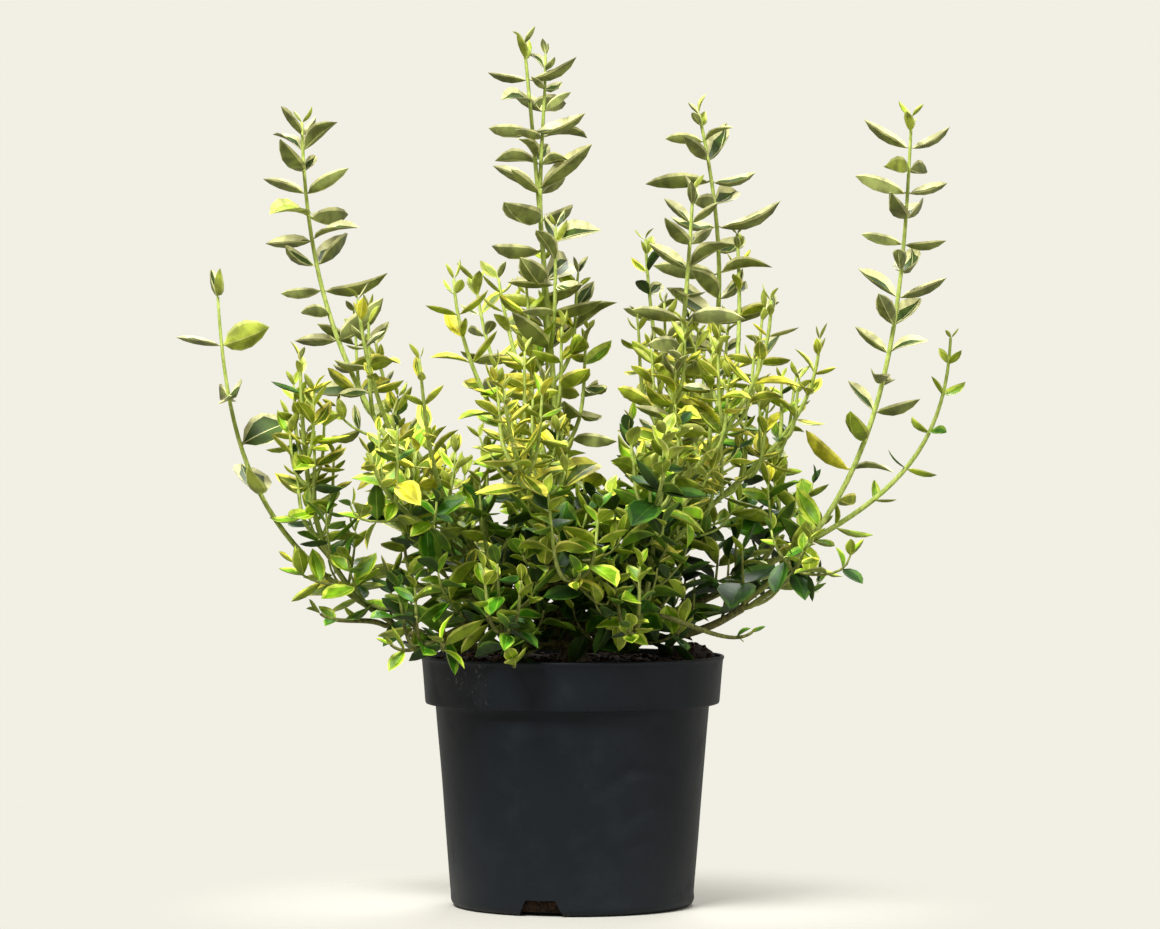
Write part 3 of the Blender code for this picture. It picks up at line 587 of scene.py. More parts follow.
def leanWay(outward, angle):
    turn = math.radians(angle)
    return outward * math.sin(turn) + up * math.cos(turn)


def stems(name, lines, resolution):
    # Tapering tubes along lines of (points, radii), as one mesh
    curve = bpy.data.curves.new(name, "CURVE")
    curve.dimensions = "3D"
    curve.use_fill_caps = True
    curve.bevel_resolution = resolution
    curve.bevel_depth = 1.0
    for points, radii in lines:
        spline = curve.splines.new("POLY")
        spline.points.add(len(points) - 1)
        for index, place in enumerate(points):
            spline.points[index].co = (*place, 1.0)
            spline.points[index].radius = radii[index]
    mesh = evaluated(linked(name, curve))
    bpy.data.curves.remove(curve)
    shape = bmesh.new()
    shape.from_mesh(mesh)
    bmesh.ops.remove_doubles(shape, verts=shape.verts, dist=0.00001)
    bmesh.ops.recalc_face_normals(shape, faces=shape.faces)
    shape.to_mesh(mesh)
    shape.free()
    mesh.shade_smooth()
    return mesh


def barkFinish(name, dark, light, stretch):
    finish = Finish(name)
    place = finish.place(stretch)
    ridges = finish.grain(place, 520.0, 5.0, 0.62)
    flecks = finish.spread(finish.grain(finish.place(), 900.0, 2.0), 0.58, 0.70)
    base = finish.mix(finish.spread(ridges, 0.34, 0.68), linear(*dark), linear(*light))
    finish.set("Base Color", finish.mix(flecks * 0.35, base, linear(150, 132, 96)))
    finish.set("Roughness", 0.72 + ridges * 0.2)
    finish.bump(ridges, 0.0006, 0.8)
    return finish.material


def makeTrunk():
    shape = bmesh.new()
    rings = []
    foot = compost["level"] + bough["gap"]
    for index in range(trunk["rings"]):
        share = (index / (trunk["rings"] - 1)) ** 1.3
        flare = math.exp(-share * trunk["height"] / trunk["flareHeight"])
        radius = trunk["neck"] + (trunk["top"] - trunk["neck"]) * share
        radius += (trunk["foot"] - trunk["neck"]) * flare
        ring = bmesh.ops.create_circle(shape, segments=trunk["sides"], radius=1.0)["verts"]
        for vert in ring:
            angle = math.atan2(vert.co.y, vert.co.x)
            lobe = 1.0 + trunk["lobeDepth"] * flare * math.cos(trunk["lobes"] * angle)
            furrow = Vector((vert.co.x * 3.2, vert.co.y * 3.2, share * 2.6))
            relief = trunk["barkDepth"] * (noise.noise(furrow) + 0.5 * noise.noise(furrow * 2.3))
            vert.co *= radius * lobe + relief
            vert.co += trunkCentre(share)
            vert.co.z = foot + trunk["height"] * share
        rings.append(ring)
    for low, high in zip(rings, rings[1:]):
        bmesh.ops.bridge_loops(shape, edges=ringEdges(low) + ringEdges(high))
    bmesh.ops.contextual_create(shape, geom=ringEdges(rings[0]))
    bmesh.ops.contextual_create(shape, geom=ringEdges(rings[-1]))
    bmesh.ops.recalc_face_normals(shape, faces=shape.faces)
    mesh = meshOf(shape, "trunkBark")
    smoothed(mesh, 50.0)
    bark = barkFinish("trunkBark", (52, 42, 28), (112, 96, 66), (1.0, 1.0, 0.35))
    finished("trunkBark", mesh, [bark], "bark", "trunk")


def ringEdges(ring):
    members = set(ring)
    edges = {edge for vert in ring for edge in vert.link_edges}
    return [edge for edge in edges if set(edge.verts) <= members]


def makeBoughs():
    # Returns each bough's tip, its last direction and its line
    ends, lines = {}, []
    soilTop = compost["level"] + bough["gap"]
    for name, (place, rise, startAngle, endAngle) in boughs.items():
        tip = Vector(place)
        foot = trunkCentre(rise / trunk["height"]) + up * (soilTop + rise)
        outward = Vector((tip.x - foot.x, tip.y - foot.y, 0.0)).normalized()
        finish = leanWay(outward, endAngle)
        way = leanWay(outward, startAngle)
        points = bend(foot, way, tip - finish * bough["seatLead"], finish, bough["hold"], bough["points"])
        points.append(tip)
        last = len(points) - 1
        growth = bough["tip"] - bough["foot"]
        radii = [bough["foot"] + growth * index / last for index in range(last + 1)]
        radii[-2] *= bough["knot"]
        radii[-1] *= bough["end"]
        lines.append((points, radii))
        ends[name] = (tip, finish, points)
    mesh = stems("boughBark", lines, bough["resolution"])
    for vert in mesh.vertices:
        relief = noise.noise(vert.co * bough["ridges"]) + 0.6 * noise.noise(vert.co * bough["cracks"])
        vert.co += vert.normal * bough["barkDepth"] * (relief - 0.3)
    bark = barkFinish("boughBark", (74, 72, 34), (130, 128, 64), (1.0, 1.0, 0.6))
    finished("boughBark", mesh, [bark], "bark", *boughs)
    print("trunk and boughs done")
    return ends


# Shoots: bare foot, gap between pairs and leaf length; the side shoots and short twigs that part
# from the nodes past sideFrom, and a side shoot's share of the length; the nodes that keep every
# leaf, and the share kept past them; how the leaves open, turn, droop and roll; their family of
# shapes; how far up the crown their tones are taken from; and the share in shade green, which is
# painted shade
shootKinds = {
    "tall": {
        "bare": 0.034, "spacing": 0.0118, "leaf": 0.0325, "sides": 2, "sideFrom": 0.66, "twigs": 2,
        "share": 0.24, "full": 12, "kept": 0.50, "droop": 0.35, "open": 76.0, "turn": 24.0,
        "family": "cupped", "lift": 0.14, "roll": 46.0, "shade": 0.0, "tipScale": 0.34,
        "fullNode": 3,
    },
    "medium": {
        "bare": 0.018, "spacing": 0.0132, "leaf": 0.0240, "sides": 2, "sideFrom": 0.50, "twigs": 2,
        "share": 0.29, "full": 8, "kept": 0.65, "droop": 0.35, "open": 82.0, "turn": 22.0,
        "family": "slender", "lift": 0.0, "roll": 34.0, "shade": 0.04,
    },
    "low": {
        "bare": 0.010, "spacing": 0.0148, "leaf": 0.0295, "sides": 1, "sideFrom": 0.30, "twigs": 3,
        "share": 0.50, "full": 6, "kept": 0.80, "droop": 0.75, "open": 98.0, "turn": 20.0,
        "family": "broad", "lift": 0.0, "roll": 36.0, "shade": 0.14,
    },
}
midShoot = {"spacing": 0.0132, "full": 6, "kept": 0.15, "tipScale": 0.56}
# What single shoots do otherwise, as the photograph shows them: open ones outside, close ones inside
habits = {
    "mass_left_arching": {
        "bare": 0.100, "spacing": 0.0260, "leaf": 0.0315, "ahead": 4, "full": 3, "kept": 0.75,
        "sides": 0, "twigs": 0, "turn": 78.0, "tipScale": 0.88, "family": "broad", "lift": 0.30,
        "roll": 80.0,
    },
    "mass_left_tall": {
        "spacing": 0.0112, "leaf": 0.0340, "full": 9, "kept": 0.60, "sides": 1, "sideFrom": 0.72,
        "twigs": 3,
    },
    "mass_left_fan": {
        "spacing": 0.0118, "leaf": 0.0275, "full": 8, "kept": 0.90, "share": 0.24, "sides": 4,
        "sideFrom": 0.34, "twigs": 5,
    },
    "mass_left_inner": {"spacing": 0.0185, "full": 4, "kept": 0.30, "sides": 0, "sideFrom": 0.60},
    "mass_left_middle": {
        "spacing": 0.0180, "full": 4, "kept": 0.25, "sides": 0, "sideFrom": 0.64, "twigs": 3,
    },
    "mass_left_front": {"leaf": 0.0260, "twigs": 3},
    "mass_left_low": {"leaf": 0.0225, "sides": 0, "twigs": 0, "full": 2, "kept": 0.50},
    "mass_left_skirt": {"leaf": 0.0310, "sides": 1, "twigs": 6, "full": 5, "kept": 0.80},
    "mass_back_left_skirt": {"leaf": 0.0300, "sides": 1, "twigs": 6},
    "mass_back_left_high": {"spacing": 0.0180, "full": 4, "kept": 0.15, "sides": 0, "sideFrom": 0.70},
    "mass_back_high": {**midShoot, "sides": 1, "sideFrom": 0.72},
    "mass_centre_left": {**midShoot, "sides": 0, "sideFrom": 0.66},
    "mass_front_left": {**midShoot, "kept": 0.25, "sides": 1, "sideFrom": 0.70},
    "mass_centre_tall": {
        "spacing": 0.0136, "leaf": 0.0345, "full": 10, "kept": 0.35, "share": 0.22, "sides": 4,
        "sideFrom": 0.68, "twigs": 7, "lift": 0.08,
    },
    "mass_back_centre": {"full": 6, "kept": 0.15, "sides": 1, "sideFrom": 0.60},
    "mass_right_centre_tall": {"spacing": 0.0108, "full": 12, "kept": 0.35, "sideFrom": 0.76},
    "mass_right_inner": {"full": 5, "kept": 0.20, "sides": 1, "sideFrom": 0.56, "twigs": 5},
    "mass_front_right_tall": {"sides": 3, "sideFrom": 0.62, "twigs": 4, "full": 10, "kept": 0.35},
    "mass_right_front": {"kept": 0.70, "sides": 2, "twigs": 7},
    "mass_right_medium": {
        "leaf": 0.0236, "full": 9, "kept": 0.95, "share": 0.25, "sides": 5, "sideFrom": 0.44,
        "twigs": 6,
    },
    "mass_front_right_low": {"sides": 3, "share": 0.62, "sideFrom": 0.20, "twigs": 6},
    "mass_back_right_low": {"twigs": 6},
    "mass_right_back": {"sides": 2, "sideFrom": 0.25, "twigs": 6},
    "mass_right_tall": {"full": 13, "kept": 0.55, "sides": 0, "twigs": 0, "lift": 0.28},
    "mass_right_arching": {
        "spacing": 0.0220, "leaf": 0.0205, "full": 9, "kept": 0.80, "sides": 0, "twigs": 0,
        "family": "slender", "lift": -0.08,
    },
    "mass_right_low": {"sides": 0, "twigs": 1, "full": 2, "kept": 0.35},
    "mass_right_skirt": {"leaf": 0.0220, "sides": 0, "twigs": 1, "full": 3, "kept": 0.40},
    "mass_right_front_skirt": {
        "leaf": 0.0165, "sides": 0, "twigs": 0, "full": 2, "kept": 0.20, "shade": 0.0,
    },
}
shoot = {
    "foot": 0.0018, "tip": 0.0009, "taper": 1.6, "points": 24,
    "seatRadius": {1: 0.0, 2: 0.0022, 3: 0.0026},
    "tipShare": 0.5, "spacingNodes": 4, "widening": 0.035, "turn": 90.0, "turnScatter": 14.0,
    "tipScale": 0.40, "fullNode": 5, "sideOpen": 50.0, "sideTurn": 45.0,
}
sideShoot = {
    "foot": 0.0013, "tip": 0.0007, "taper": 1.3, "hold": 0.38, "points": 14, "scatter": 0.2,
    "bare": 0.010, "spacing": 0.0130, "leaf": 0.80, "spread": 0.44, "rise": 1.0, "tipScale": 0.46,
    "fullNode": 3, "endSpread": 0.25, "tries": (1.0, 0.8, 0.6),
}
twig = {
    **sideShoot, "foot": 0.0010, "tip": 0.0006, "taper": 1.0, "hold": 0.33, "points": 8,
    "length": 0.034, "scatter": 0.3, "bare": 0.008, "spacing": 0.0135, "spread": 0.85,
    "rise": 0.35, "tipScale": 0.56, "fullNode": 2,
}
# Leafy twigs on the boughs; above high they may reach further out; shade is the share of their leaves in
# the darker shade green, painted shade for the inside of the crown
boughTwig = {
    "bare": 0.012, "spacing": 0.0232, "open": 66.0, "length": 0.030, "rise": 0.40, "leafless": 0.005,
    "leaf": 0.0262, "room": 0.012, "reach": 0.086, "highReach": 0.120, "high": 0.178, "shade": 0.62,
    "seed": 300, "turnScatter": 20.0, "scatter": 0.3, "spread": 0.6, "endSpread": 0.3,
}
leaf = {
    "width": 0.54, "thickness": 0.012, "rows": (0.0, 0.07, 0.19, 0.38, 0.60, 0.82, 1.0),
    "rib": 0.015, "stalk": 0.07, "stalkHalf": 0.028, "sunk": 0.0003, "broadBelow": 0.16,
    "wander": 0.16, "heartEnds": (0.16, 0.34), "underHeart": 0.80,
    "tipOpen": 32.0, "openScatter": 18.0,
    "lengthScatter": 0.26, "nudges": (0.0, 14.0, -14.0, 28.0, -28.0, 44.0, -44.0),
    "reach": 0.006, "belly": (0.80, 0.88, 0.314), "blunt": 0.996, "ribTaper": 0.8, "ribShare": 0.25,
    "heartLeast": 1.4, "upright": 0.2,
}


def seats(ends):
    # The foot of each mass's shoot, side by side on its bough's tip and a gap clear of it
    feet = {}
    for name, (tip, way, _) in ends.items():
        carried = [mass for mass, spec in masses.items() if spec[0] == name]
        middle = sum((Vector(masses[mass][2]) for mass in carried), Vector()) / len(carried)
        side = way.cross(up).normalized()
        over = side.cross(way)
        bearings = {}
        for mass in carried:
            towards = Vector(masses[mass][2]) - middle
            bearings[mass] = math.atan2(towards.dot(over), towards.dot(side))
        ordered = sorted(carried, key=bearings.get)
        for index, mass in enumerate(ordered):
            angle = bearings[ordered[0]] + math.tau * index / len(carried)
            offset = side * math.cos(angle) + over * math.sin(angle)
            feet[mass] = tip + way * bough["gap"] + offset * shoot["seatRadius"][len(carried)]
    return feet


def walk(points, bare, spacing, ahead=0):
    # Places and directions of the nodes from the tip down, at gaps that grow at first; a shoot
    # that starts ahead has lost its youngest nodes
    line = list(reversed(points))
    lengths = [0.0]
    for first, second in zip(line, line[1:]):
        lengths.append(lengths[-1] + (second - first).length)
    stops = []
    distance = 0.0
    while distance <= lengths[-1] - bare:
        piece = max(index for index in range(len(line) - 1) if lengths[index] <= distance)
        share = (distance - lengths[piece]) / (lengths[piece + 1] - lengths[piece])
        way = (line[piece] - line[piece + 1]).normalized()
        stops.append((line[piece].lerp(line[piece + 1], share), way))
        grown = min(1.0, (len(stops) + ahead) / shoot["spacingNodes"])
        distance += spacing * (shoot["tipShare"] + (1.0 - shoot["tipShare"]) * grown)
        distance += spacing * shoot["widening"] * len(stops)
    return stops


def pairWays(way, side, turn, opening, droop):
    # The two opposite directions of one pair of leaves or twigs
    turned = side * math.cos(turn) + way.cross(side) * math.sin(turn)
    ways = []
    for sign in (1.0, -1.0):
        spread = (turned * sign * math.sin(opening) + way * math.cos(opening)).normalized()
        if spread.z < 0.0:
            spread.z *= droop
            spread.normalize()
        ways.append(spread)
    return ways


def inside(place, box):
    low, high = box
    reach = leaf["reach"]
    return all(low[axis] - reach < place[axis] < high[axis] + reach for axis in range(3))


def branchPoints(place, start, chance, length, form, box):
    # A side shoot or twig that parts along start and turns upwards, or None if it leaves the box
    length *= 1.0 + chance.uniform(-form["scatter"], form["scatter"])
    towards = (start * form["spread"] + up * form["rise"]).normalized()
    finish = (start * form["endSpread"] + up).normalized()
    for share in form["tries"]:
        tip = place + towards * length * share
        if inside(tip + finish * leaf["reach"], box):
            return bend(place, start, tip, finish, form["hold"], form["points"])
    return None


def grow(points, bare, spacing, size, turn, kind, form, chance):
    # The leaves of one spray as (base, way, length, node), and its nodes from the tip down
    leaves = []
    side = across.copy()
    ahead = kind.get("ahead", 0)
    stops = walk(points, bare, spacing, ahead)
    nodes = []
    for index, (place, way) in enumerate(stops):
        side = (side - way * side.dot(way)).normalized()
        grown = min(1.0, (index + ahead * (index > 0)) / kind.get("fullNode", form["fullNode"]))
        scattered = chance.uniform(-shoot["turnScatter"], shoot["turnScatter"])
        angle = math.radians(turn + shoot["turn"] * index + scattered)
        opening = leaf["tipOpen"] + (kind["open"] - leaf["tipOpen"]) * grown
        opening = math.radians(opening + chance.uniform(-leaf["openScatter"], leaf["openScatter"]))
        tipScale = kind.get("tipScale", form["tipScale"])
        length = size * (tipScale + (1.0 - tipScale) * grown)
        nodes.append((place, way, side.copy(), angle))
        for spread in pairWays(way, side, angle, opening, kind["droop"]):
            scale = 1.0 + chance.uniform(-leaf["lengthScatter"], leaf["lengthScatter"])
            if index < kind["full"] or chance.random() < kind["kept"]:
                leaves.append((place - spread * leaf["sunk"], spread, length * scale, index))
    return leaves, nodes


def growOnBoughs(ends):
    # Short leafy twigs along the boughs, which close the foot of the crown
    sprays = []
    kind = shootKinds["low"]
    for seed, (name, (_, _, line)) in enumerate(ends.items()):
        chance = random.Random(boughTwig["seed"] + seed)
        boxes = [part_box(mass) for mass, spec in masses.items() if spec[0] == name]
        low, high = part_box(name)
        room = Vector((boughTwig["room"],) * 3)
        boxes.append((low - room, high + room))
        side = across.copy()
        for index, (place, way) in enumerate(walk(line, boughTwig["bare"], boughTwig["spacing"])):
            side = (side - way * side.dot(way)).normalized()
            scattered = chance.uniform(-boughTwig["turnScatter"], boughTwig["turnScatter"])
            angle = math.radians(shoot["sideTurn"] + shoot["turn"] * index + scattered)
            for spread in pairWays(way, side, angle, math.radians(boughTwig["open"]), kind["droop"]):
                scattered = chance.uniform(-boughTwig["scatter"], boughTwig["scatter"])
                length = boughTwig["length"] * (1.0 + scattered)
                towards = (spread * boughTwig["spread"] + up * boughTwig["rise"]).normalized()
                tip = place + towards * length
                reach = boughTwig["highReach" if tip.z > boughTwig["high"] else "reach"]
                if math.hypot(tip.x, tip.y) > reach:
                    continue
                finish = (spread * boughTwig["endSpread"] + up).normalized()
                points = bend(place, spread, tip, finish, twig["hold"], twig["points"])
                leaves = grow(
                    points, boughTwig["leafless"], twig["spacing"], boughTwig["leaf"],
                    shoot["sideTurn"], kind, twig, chance,
                )[0]
                sprays.append({
                    "boxes": boxes, "points": points, "form": twig, "leaves": leaves, "family": "broad",
                    "lift": kind["lift"], "roll": kind["roll"], "shade": boughTwig["shade"],
                })
    return sprays


def growSprays(ends):
    # Every shoot and twig: the boxes that it keeps to, its line, its form and its leaves
    feet = seats(ends)
    sprays = growOnBoughs(ends)
    for seed, (name, (boughName, kindName, tip, lean, hold)) in enumerate(masses.items()):
        kind = {**shootKinds[kindName], **habits.get(name, {})}
        chance = random.Random(seed + 1)
        boxes = [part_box(name)]
        way = ends[boughName][1]
        start = feet[name] + way * bough["seatLead"]
        finish = Vector((*lean, 1.0)).normalized()
        axis = [feet[name]] + bend(start, way, Vector(tip), finish, hold, shoot["points"])
        axis[0] = ends[boughName][0] - way * bough["seatLead"]
        turn = chance.choice((-1.0, 1.0)) * kind["turn"]
        leaves, nodes = grow(axis, kind["bare"], kind["spacing"], kind["leaf"], turn, kind, shoot, chance)
        look = {"boxes": boxes, **{key: kind[key] for key in ("family", "lift", "roll", "shade")}}
        sprays.append({**look, "points": axis, "form": shoot, "leaves": leaves})
        branches = []
        if name in twins:
            twin = twins[name]
            place, twinWay = walk(axis, 0.0, twin["parts"] / shoot["tipShare"])[1]
            tip = axis[-1] + Vector(twin["beside"])
            points = bend(place, twinWay, tip, up, twin["hold"], twin["points"])
            branches.append((points, sideShoot))
        total = sum((second - first).length for first, second in zip(axis, axis[1:]))
        low = [node for index, node in enumerate(nodes) if index >= kind["sideFrom"] * len(nodes)]
        opening = math.radians(shoot["sideOpen"])
        starts = []
        for place, nodeWay, side, angle in low:
            turned = angle + math.radians(shoot["sideTurn"])
            spreads = pairWays(nodeWay, side, turned, opening, kind["droop"])
            starts += [(place, spread) for spread in spreads]
        # One pair parts from each node: the side shoots first, then the twigs
        for order, (place, spread) in enumerate(starts[:2 * (kind["sides"] + kind["twigs"])]):
            form = sideShoot if order < 2 * kind["sides"] else twig
            length = total * kind["share"] if form is sideShoot else twig["length"]
            points = branchPoints(place, spread, chance, length, form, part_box(name))
            if points:
                branches.append((points, form))
        for points, form in branches:
            size = kind["leaf"] * form["leaf"]
            leaves = grow(
                points, form["bare"], form["spacing"], size, shoot["sideTurn"], kind, form, chance
            )[0]
            sprays.append({**look, "points": points, "form": form, "leaves": leaves})
    return sprays


# Leaf shapes: how far each folds up, sags and twists, its width, and how far its green heart
# reaches to the left and to the right
shapeParts = ("fold", "sag", "twist", "width", "heart")
leafShapes = {
    "cupped": [
        (46.0, 0.15, 0.0, 0.90, (0.62, 0.55)),
        (58.0, 0.11, 10.0, 0.94, (0.48, 0.66)),
        (38.0, 0.19, -12.0, 0.95, (0.70, 0.40)),
        (64.0, 0.13, 6.0, 0.88, (0.56, 0.60)),
        (50.0, 0.08, -16.0, 0.92, (0.36, 0.52)),
        (42.0, 0.21, 14.0, 0.85, (0.64, 0.72)),
        (30.0, -0.07, 20.0, 0.83, (0.52, 0.34)),
    ],
    "slender": [
        (22.0, 0.08, 0.0, 0.83, (0.62, 0.55)),
        (34.0, 0.05, 12.0, 0.88, (0.46, 0.64)),
        (14.0, 0.12, -12.0, 0.79, (0.68, 0.42)),
        (44.0, 0.10, 6.0, 0.86, (0.54, 0.60)),
        (26.0, -0.05, -16.0, 0.81, (0.34, 0.52)),
        (30.0, 0.15, 16.0, 0.77, (0.64, 0.72)),
    ],
    "broad": [
        (24.0, 0.07, 0.0, 1.16, (0.74, 0.68)),
        (34.0, 0.10, 12.0, 1.10, (0.60, 0.78)),
        (16.0, -0.06, -10.0, 1.24, (0.80, 0.64)),
        (28.0, -0.03, 16.0, 1.18, (0.66, 0.72)),
        (40.0, 0.12, -14.0, 1.06, (0.70, 0.56)),
    ],
}
leafLines = 5  # strips of faces from side to side: margin, heart, rib, heart, margin


def bladeHalf(share):
    # Half the width of a blade of unit length: a short stalk, a round base and a pointed tip
    if share < leaf["stalk"]:
        return leaf["stalkHalf"]
    along = (share - leaf["stalk"]) / (1.0 - leaf["stalk"])
    early, late, peak = leaf["belly"]
    bulge = along**early * (1.0 - along) ** late / peak
    return leaf["stalkHalf"] * (1.0 - along) + leaf["width"] / 2.0 * bulge


def bladePoint(column, share, spec, hearts):
    # A point of the bent blade; hearts is how far the heart reaches on the left and the right
    half = bladeHalf(min(share, leaf["blunt"])) * spec["width"]
    rib = min(leaf["rib"] * (1.0 - leaf["ribTaper"] * share), leaf["ribShare"] * half)
    left, right = [max(leaf["heartLeast"] * rib, half * heart) for heart in hearts]
    reach = (-half, -left, -rib, rib, right, half)[column]
    fold = math.radians(spec["fold"])
    arch = 4.0 * share * (1.0 - share)
    point = Vector((reach * math.cos(fold), abs(reach) * math.sin(fold) - spec["sag"] * arch, share))
    point.rotate(Matrix.Rotation(math.radians(spec["twist"]) * (share - 0.1), 3, "Z"))
    return point


def leafUnit(spec, seed):
    # A closed blade along +Z with its upper side to +Y, as arrays for the joined meshes
    chance = random.Random(seed)
    count = len(leaf["rows"]) - 1
    shape = bmesh.new()
    bmesh.ops.create_grid(shape, x_segments=leafLines, y_segments=count, size=0.5)
    hearts = []
    for share in leaf["rows"]:
        narrowing = min(1.0, share / leaf["heartEnds"][0]) * min(1.0, (1.0 - share) / leaf["heartEnds"][1])
        wander = [chance.uniform(-leaf["wander"], leaf["wander"]) for _ in range(2)]
        hearts.append([(spec["heart"][side] + wander[side]) * narrowing for side in range(2)])
    spots = {}
    for vert in shape.verts:
        column, row = round((vert.co.x + 0.5) * leafLines), round((vert.co.y + 0.5) * count)
        spots[vert] = (column, leaf["rows"][row])
        vert.co = bladePoint(column, leaf["rows"][row], spec, hearts[row])
    for face in shape.faces:
        strip = min(spots[vert][0] for vert in face.verts)
        face.material_index = 0 if strip in (1, 3) else 1
    shape.normal_update()
    if sum(face.normal.y for face in shape.faces) < 0.0:
        bmesh.ops.reverse_faces(shape, faces=shape.faces)
        shape.normal_update()
    depths = {vert: vert.normal * leaf["thickness"] for vert in shape.verts if not vert.is_boundary}
    copied = bmesh.ops.duplicate(shape, geom=shape.verts[:] + shape.edges[:] + shape.faces[:])
    for vert, depth in depths.items():
        column, share = spots[vert]
        below = bladePoint(column, share, spec, (leaf["underHeart"], leaf["underHeart"]))
        copied["vert_map"][vert].co = below - depth
    lower = [item for item in copied["geom"] if isinstance(item, bmesh.types.BMFace)]
    bmesh.ops.reverse_faces(shape, faces=lower)
    for face in lower:
        face.material_index += 2
    bmesh.ops.remove_doubles(shape, verts=shape.verts, dist=0.000001)
    mesh = meshOf(shape, "leafUnit")
    points = np.array([vert.co for vert in mesh.vertices])
    faces = np.array([face.vertices for face in mesh.polygons])
    paints = np.array([face.material_index for face in mesh.polygons])
    bpy.data.meshes.remove(mesh)
    return points, faces, paints


def leafMatrix(base, way, length, roll):
    over = up - way * way.dot(up)
    if over.length < leaf["upright"]:
        over = across - way * way.dot(across)
    over.normalize()
    over.rotate(Matrix.Rotation(math.radians(roll), 3, way))
    turn = Matrix((over.cross(way), over, way)).transposed().to_4x4()
    return Matrix.Translation(base) @ turn @ Matrix.Scale(length, 4)


# The plain body that stands for a leaf where room is sought, as shares of the leaf
stand = {
    "cell": 0.03, "width": 0.86, "thickness": 3.0, "edgeRise": 0.12, "waistSag": 0.09, "middle": 0.58,
    "length": 0.78,
}


# What the leaves keep clear of: the limbs and the other leaves
class Room:
    def __init__(self, limbs):
        self.limbs = limbs
        self.cells = {}
        self.size = stand["cell"]
        shape = bmesh.new()
        bmesh.ops.create_uvsphere(shape, u_segments=4, v_segments=2, radius=0.5)
        for vert in shape.verts:
            edge, waist = abs(vert.co.x) * 2.0, 1.0 - abs(vert.co.z) * 2.0
            vert.co.x *= leaf["width"] * stand["width"]
            vert.co.y *= leaf["thickness"] * stand["thickness"]
            vert.co.y += stand["edgeRise"] * edge - stand["waistSag"] * waist
            vert.co.z = stand["middle"] + vert.co.z * stand["length"]
        self.points = [vert.co.copy() for vert in shape.verts]
        self.faces = [tuple(vert.index for vert in face.verts) for face in shape.faces]
        shape.free()

    def cell(self, place):
        return tuple(int(part // self.size) for part in place)

    def take(self, matrix):
        # Says whether a leaf fits there, and if so takes the place
        points = [matrix @ point for point in self.points]
        tree = BVHTree.FromPolygons(points, self.faces)
        if tree.overlap(self.limbs):
            return False
        middle = sum(points, Vector()) / len(points)
        radius = max((point - middle).length for point in points)
        home = self.cell(middle)
        for steps in itertools.product((-1, 0, 1), repeat=3):
            near = tuple(part + step for part, step in zip(home, steps))
            for other, size, solid in self.cells.get(near, ()):
                if (other - middle).length < radius + size and tree.overlap(solid):
                    return False
        self.cells.setdefault(home, []).append((middle, radius, tree))
        return True


# Tones of leaf: heart and margin above, heart and margin below, and how rough the upper side is;
# shade green is painted shade, a darker green dealt to the inner leaves where shade falls in the crown
toneParts = ("heart", "margin", "under", "underMargin", "gloss")
leafTones = {
    "shadeGreen": ((30, 68, 8), (62, 98, 18), (38, 62, 8), (66, 92, 24), 0.42),
    "deepGreen": ((62, 120, 10), (124, 162, 44), (78, 112, 14), (134, 158, 52), 0.38),
    "leafGreen": ((120, 164, 18), (190, 206, 72), (130, 150, 28), (190, 196, 84), 0.40),
    "olive": ((102, 126, 10), (236, 224, 84), (140, 154, 34), (226, 218, 108), 0.46),
    "sage": ((62, 84, 26), (208, 206, 148), (120, 128, 66), (204, 202, 142), 0.50),
    "fresh": ((152, 172, 40), (200, 206, 106), (160, 172, 60), (198, 204, 112), 0.48),
    "gold": ((190, 184, 34), (242, 226, 76), (190, 186, 46), (234, 222, 92), 0.48),
}
# How the tones are dealt out by height: up to this share of the crown
toneBands = [
    (0.10, {"deepGreen": 7, "leafGreen": 3}),
    (0.25, {"deepGreen": 4, "leafGreen": 5, "olive": 2}),
    (0.42, {"deepGreen": 1, "leafGreen": 4, "olive": 6, "gold": 1}),
    (0.62, {"leafGreen": 1, "olive": 6, "sage": 3, "fresh": 1, "gold": 1}),
    (9.00, {"sage": 19, "fresh": 1}),
]
tipTones = ((0.25, "leafGreen"), (9.00, "fresh"))  # the youngest leaves, by height too
dealing = {
    "seed": 5, "sameTone": 0.45, "youngTone": 0.6, "youngNode": 1, "pieceTriangles": 190000,
    "underRoughness": 0.55, "marginRougher": 0.04, "sharp": 60.0, "limbShare": 0.8,
}


def leafFinish(name, colour, roughness):
    finish = Finish(name)
    place = finish.place()
    patches = finish.grain(place, 105.0, 4.0)
    veins = finish.grain(place, 620.0, 2.0)
    dark = tuple(part * 0.58 for part in colour[:3]) + (1.0,)
    light = tuple(min(1.0, part * 1.28) for part in colour[:3]) + (1.0,)
    finish.set("Base Color", finish.mix(finish.spread(patches, 0.34, 0.66), dark, light))
    finish.set("Roughness", roughness + veins * 0.12)
    finish.set("Specular IOR Level", 0.32)
    finish.bump(veins, 0.0003, 0.2)
    return finish.material


def pickTone(height, draw):
    # The tone at a height for a draw from 0 to 1, so that one draw gives a spray like tones
    shares = next(shares for limit, shares in toneBands if height <= limit)
    total = sum(shares.values())
    for tone, share in shares.items():
        draw -= share / total
        if draw <= 0.0:
            return tone
    return tone


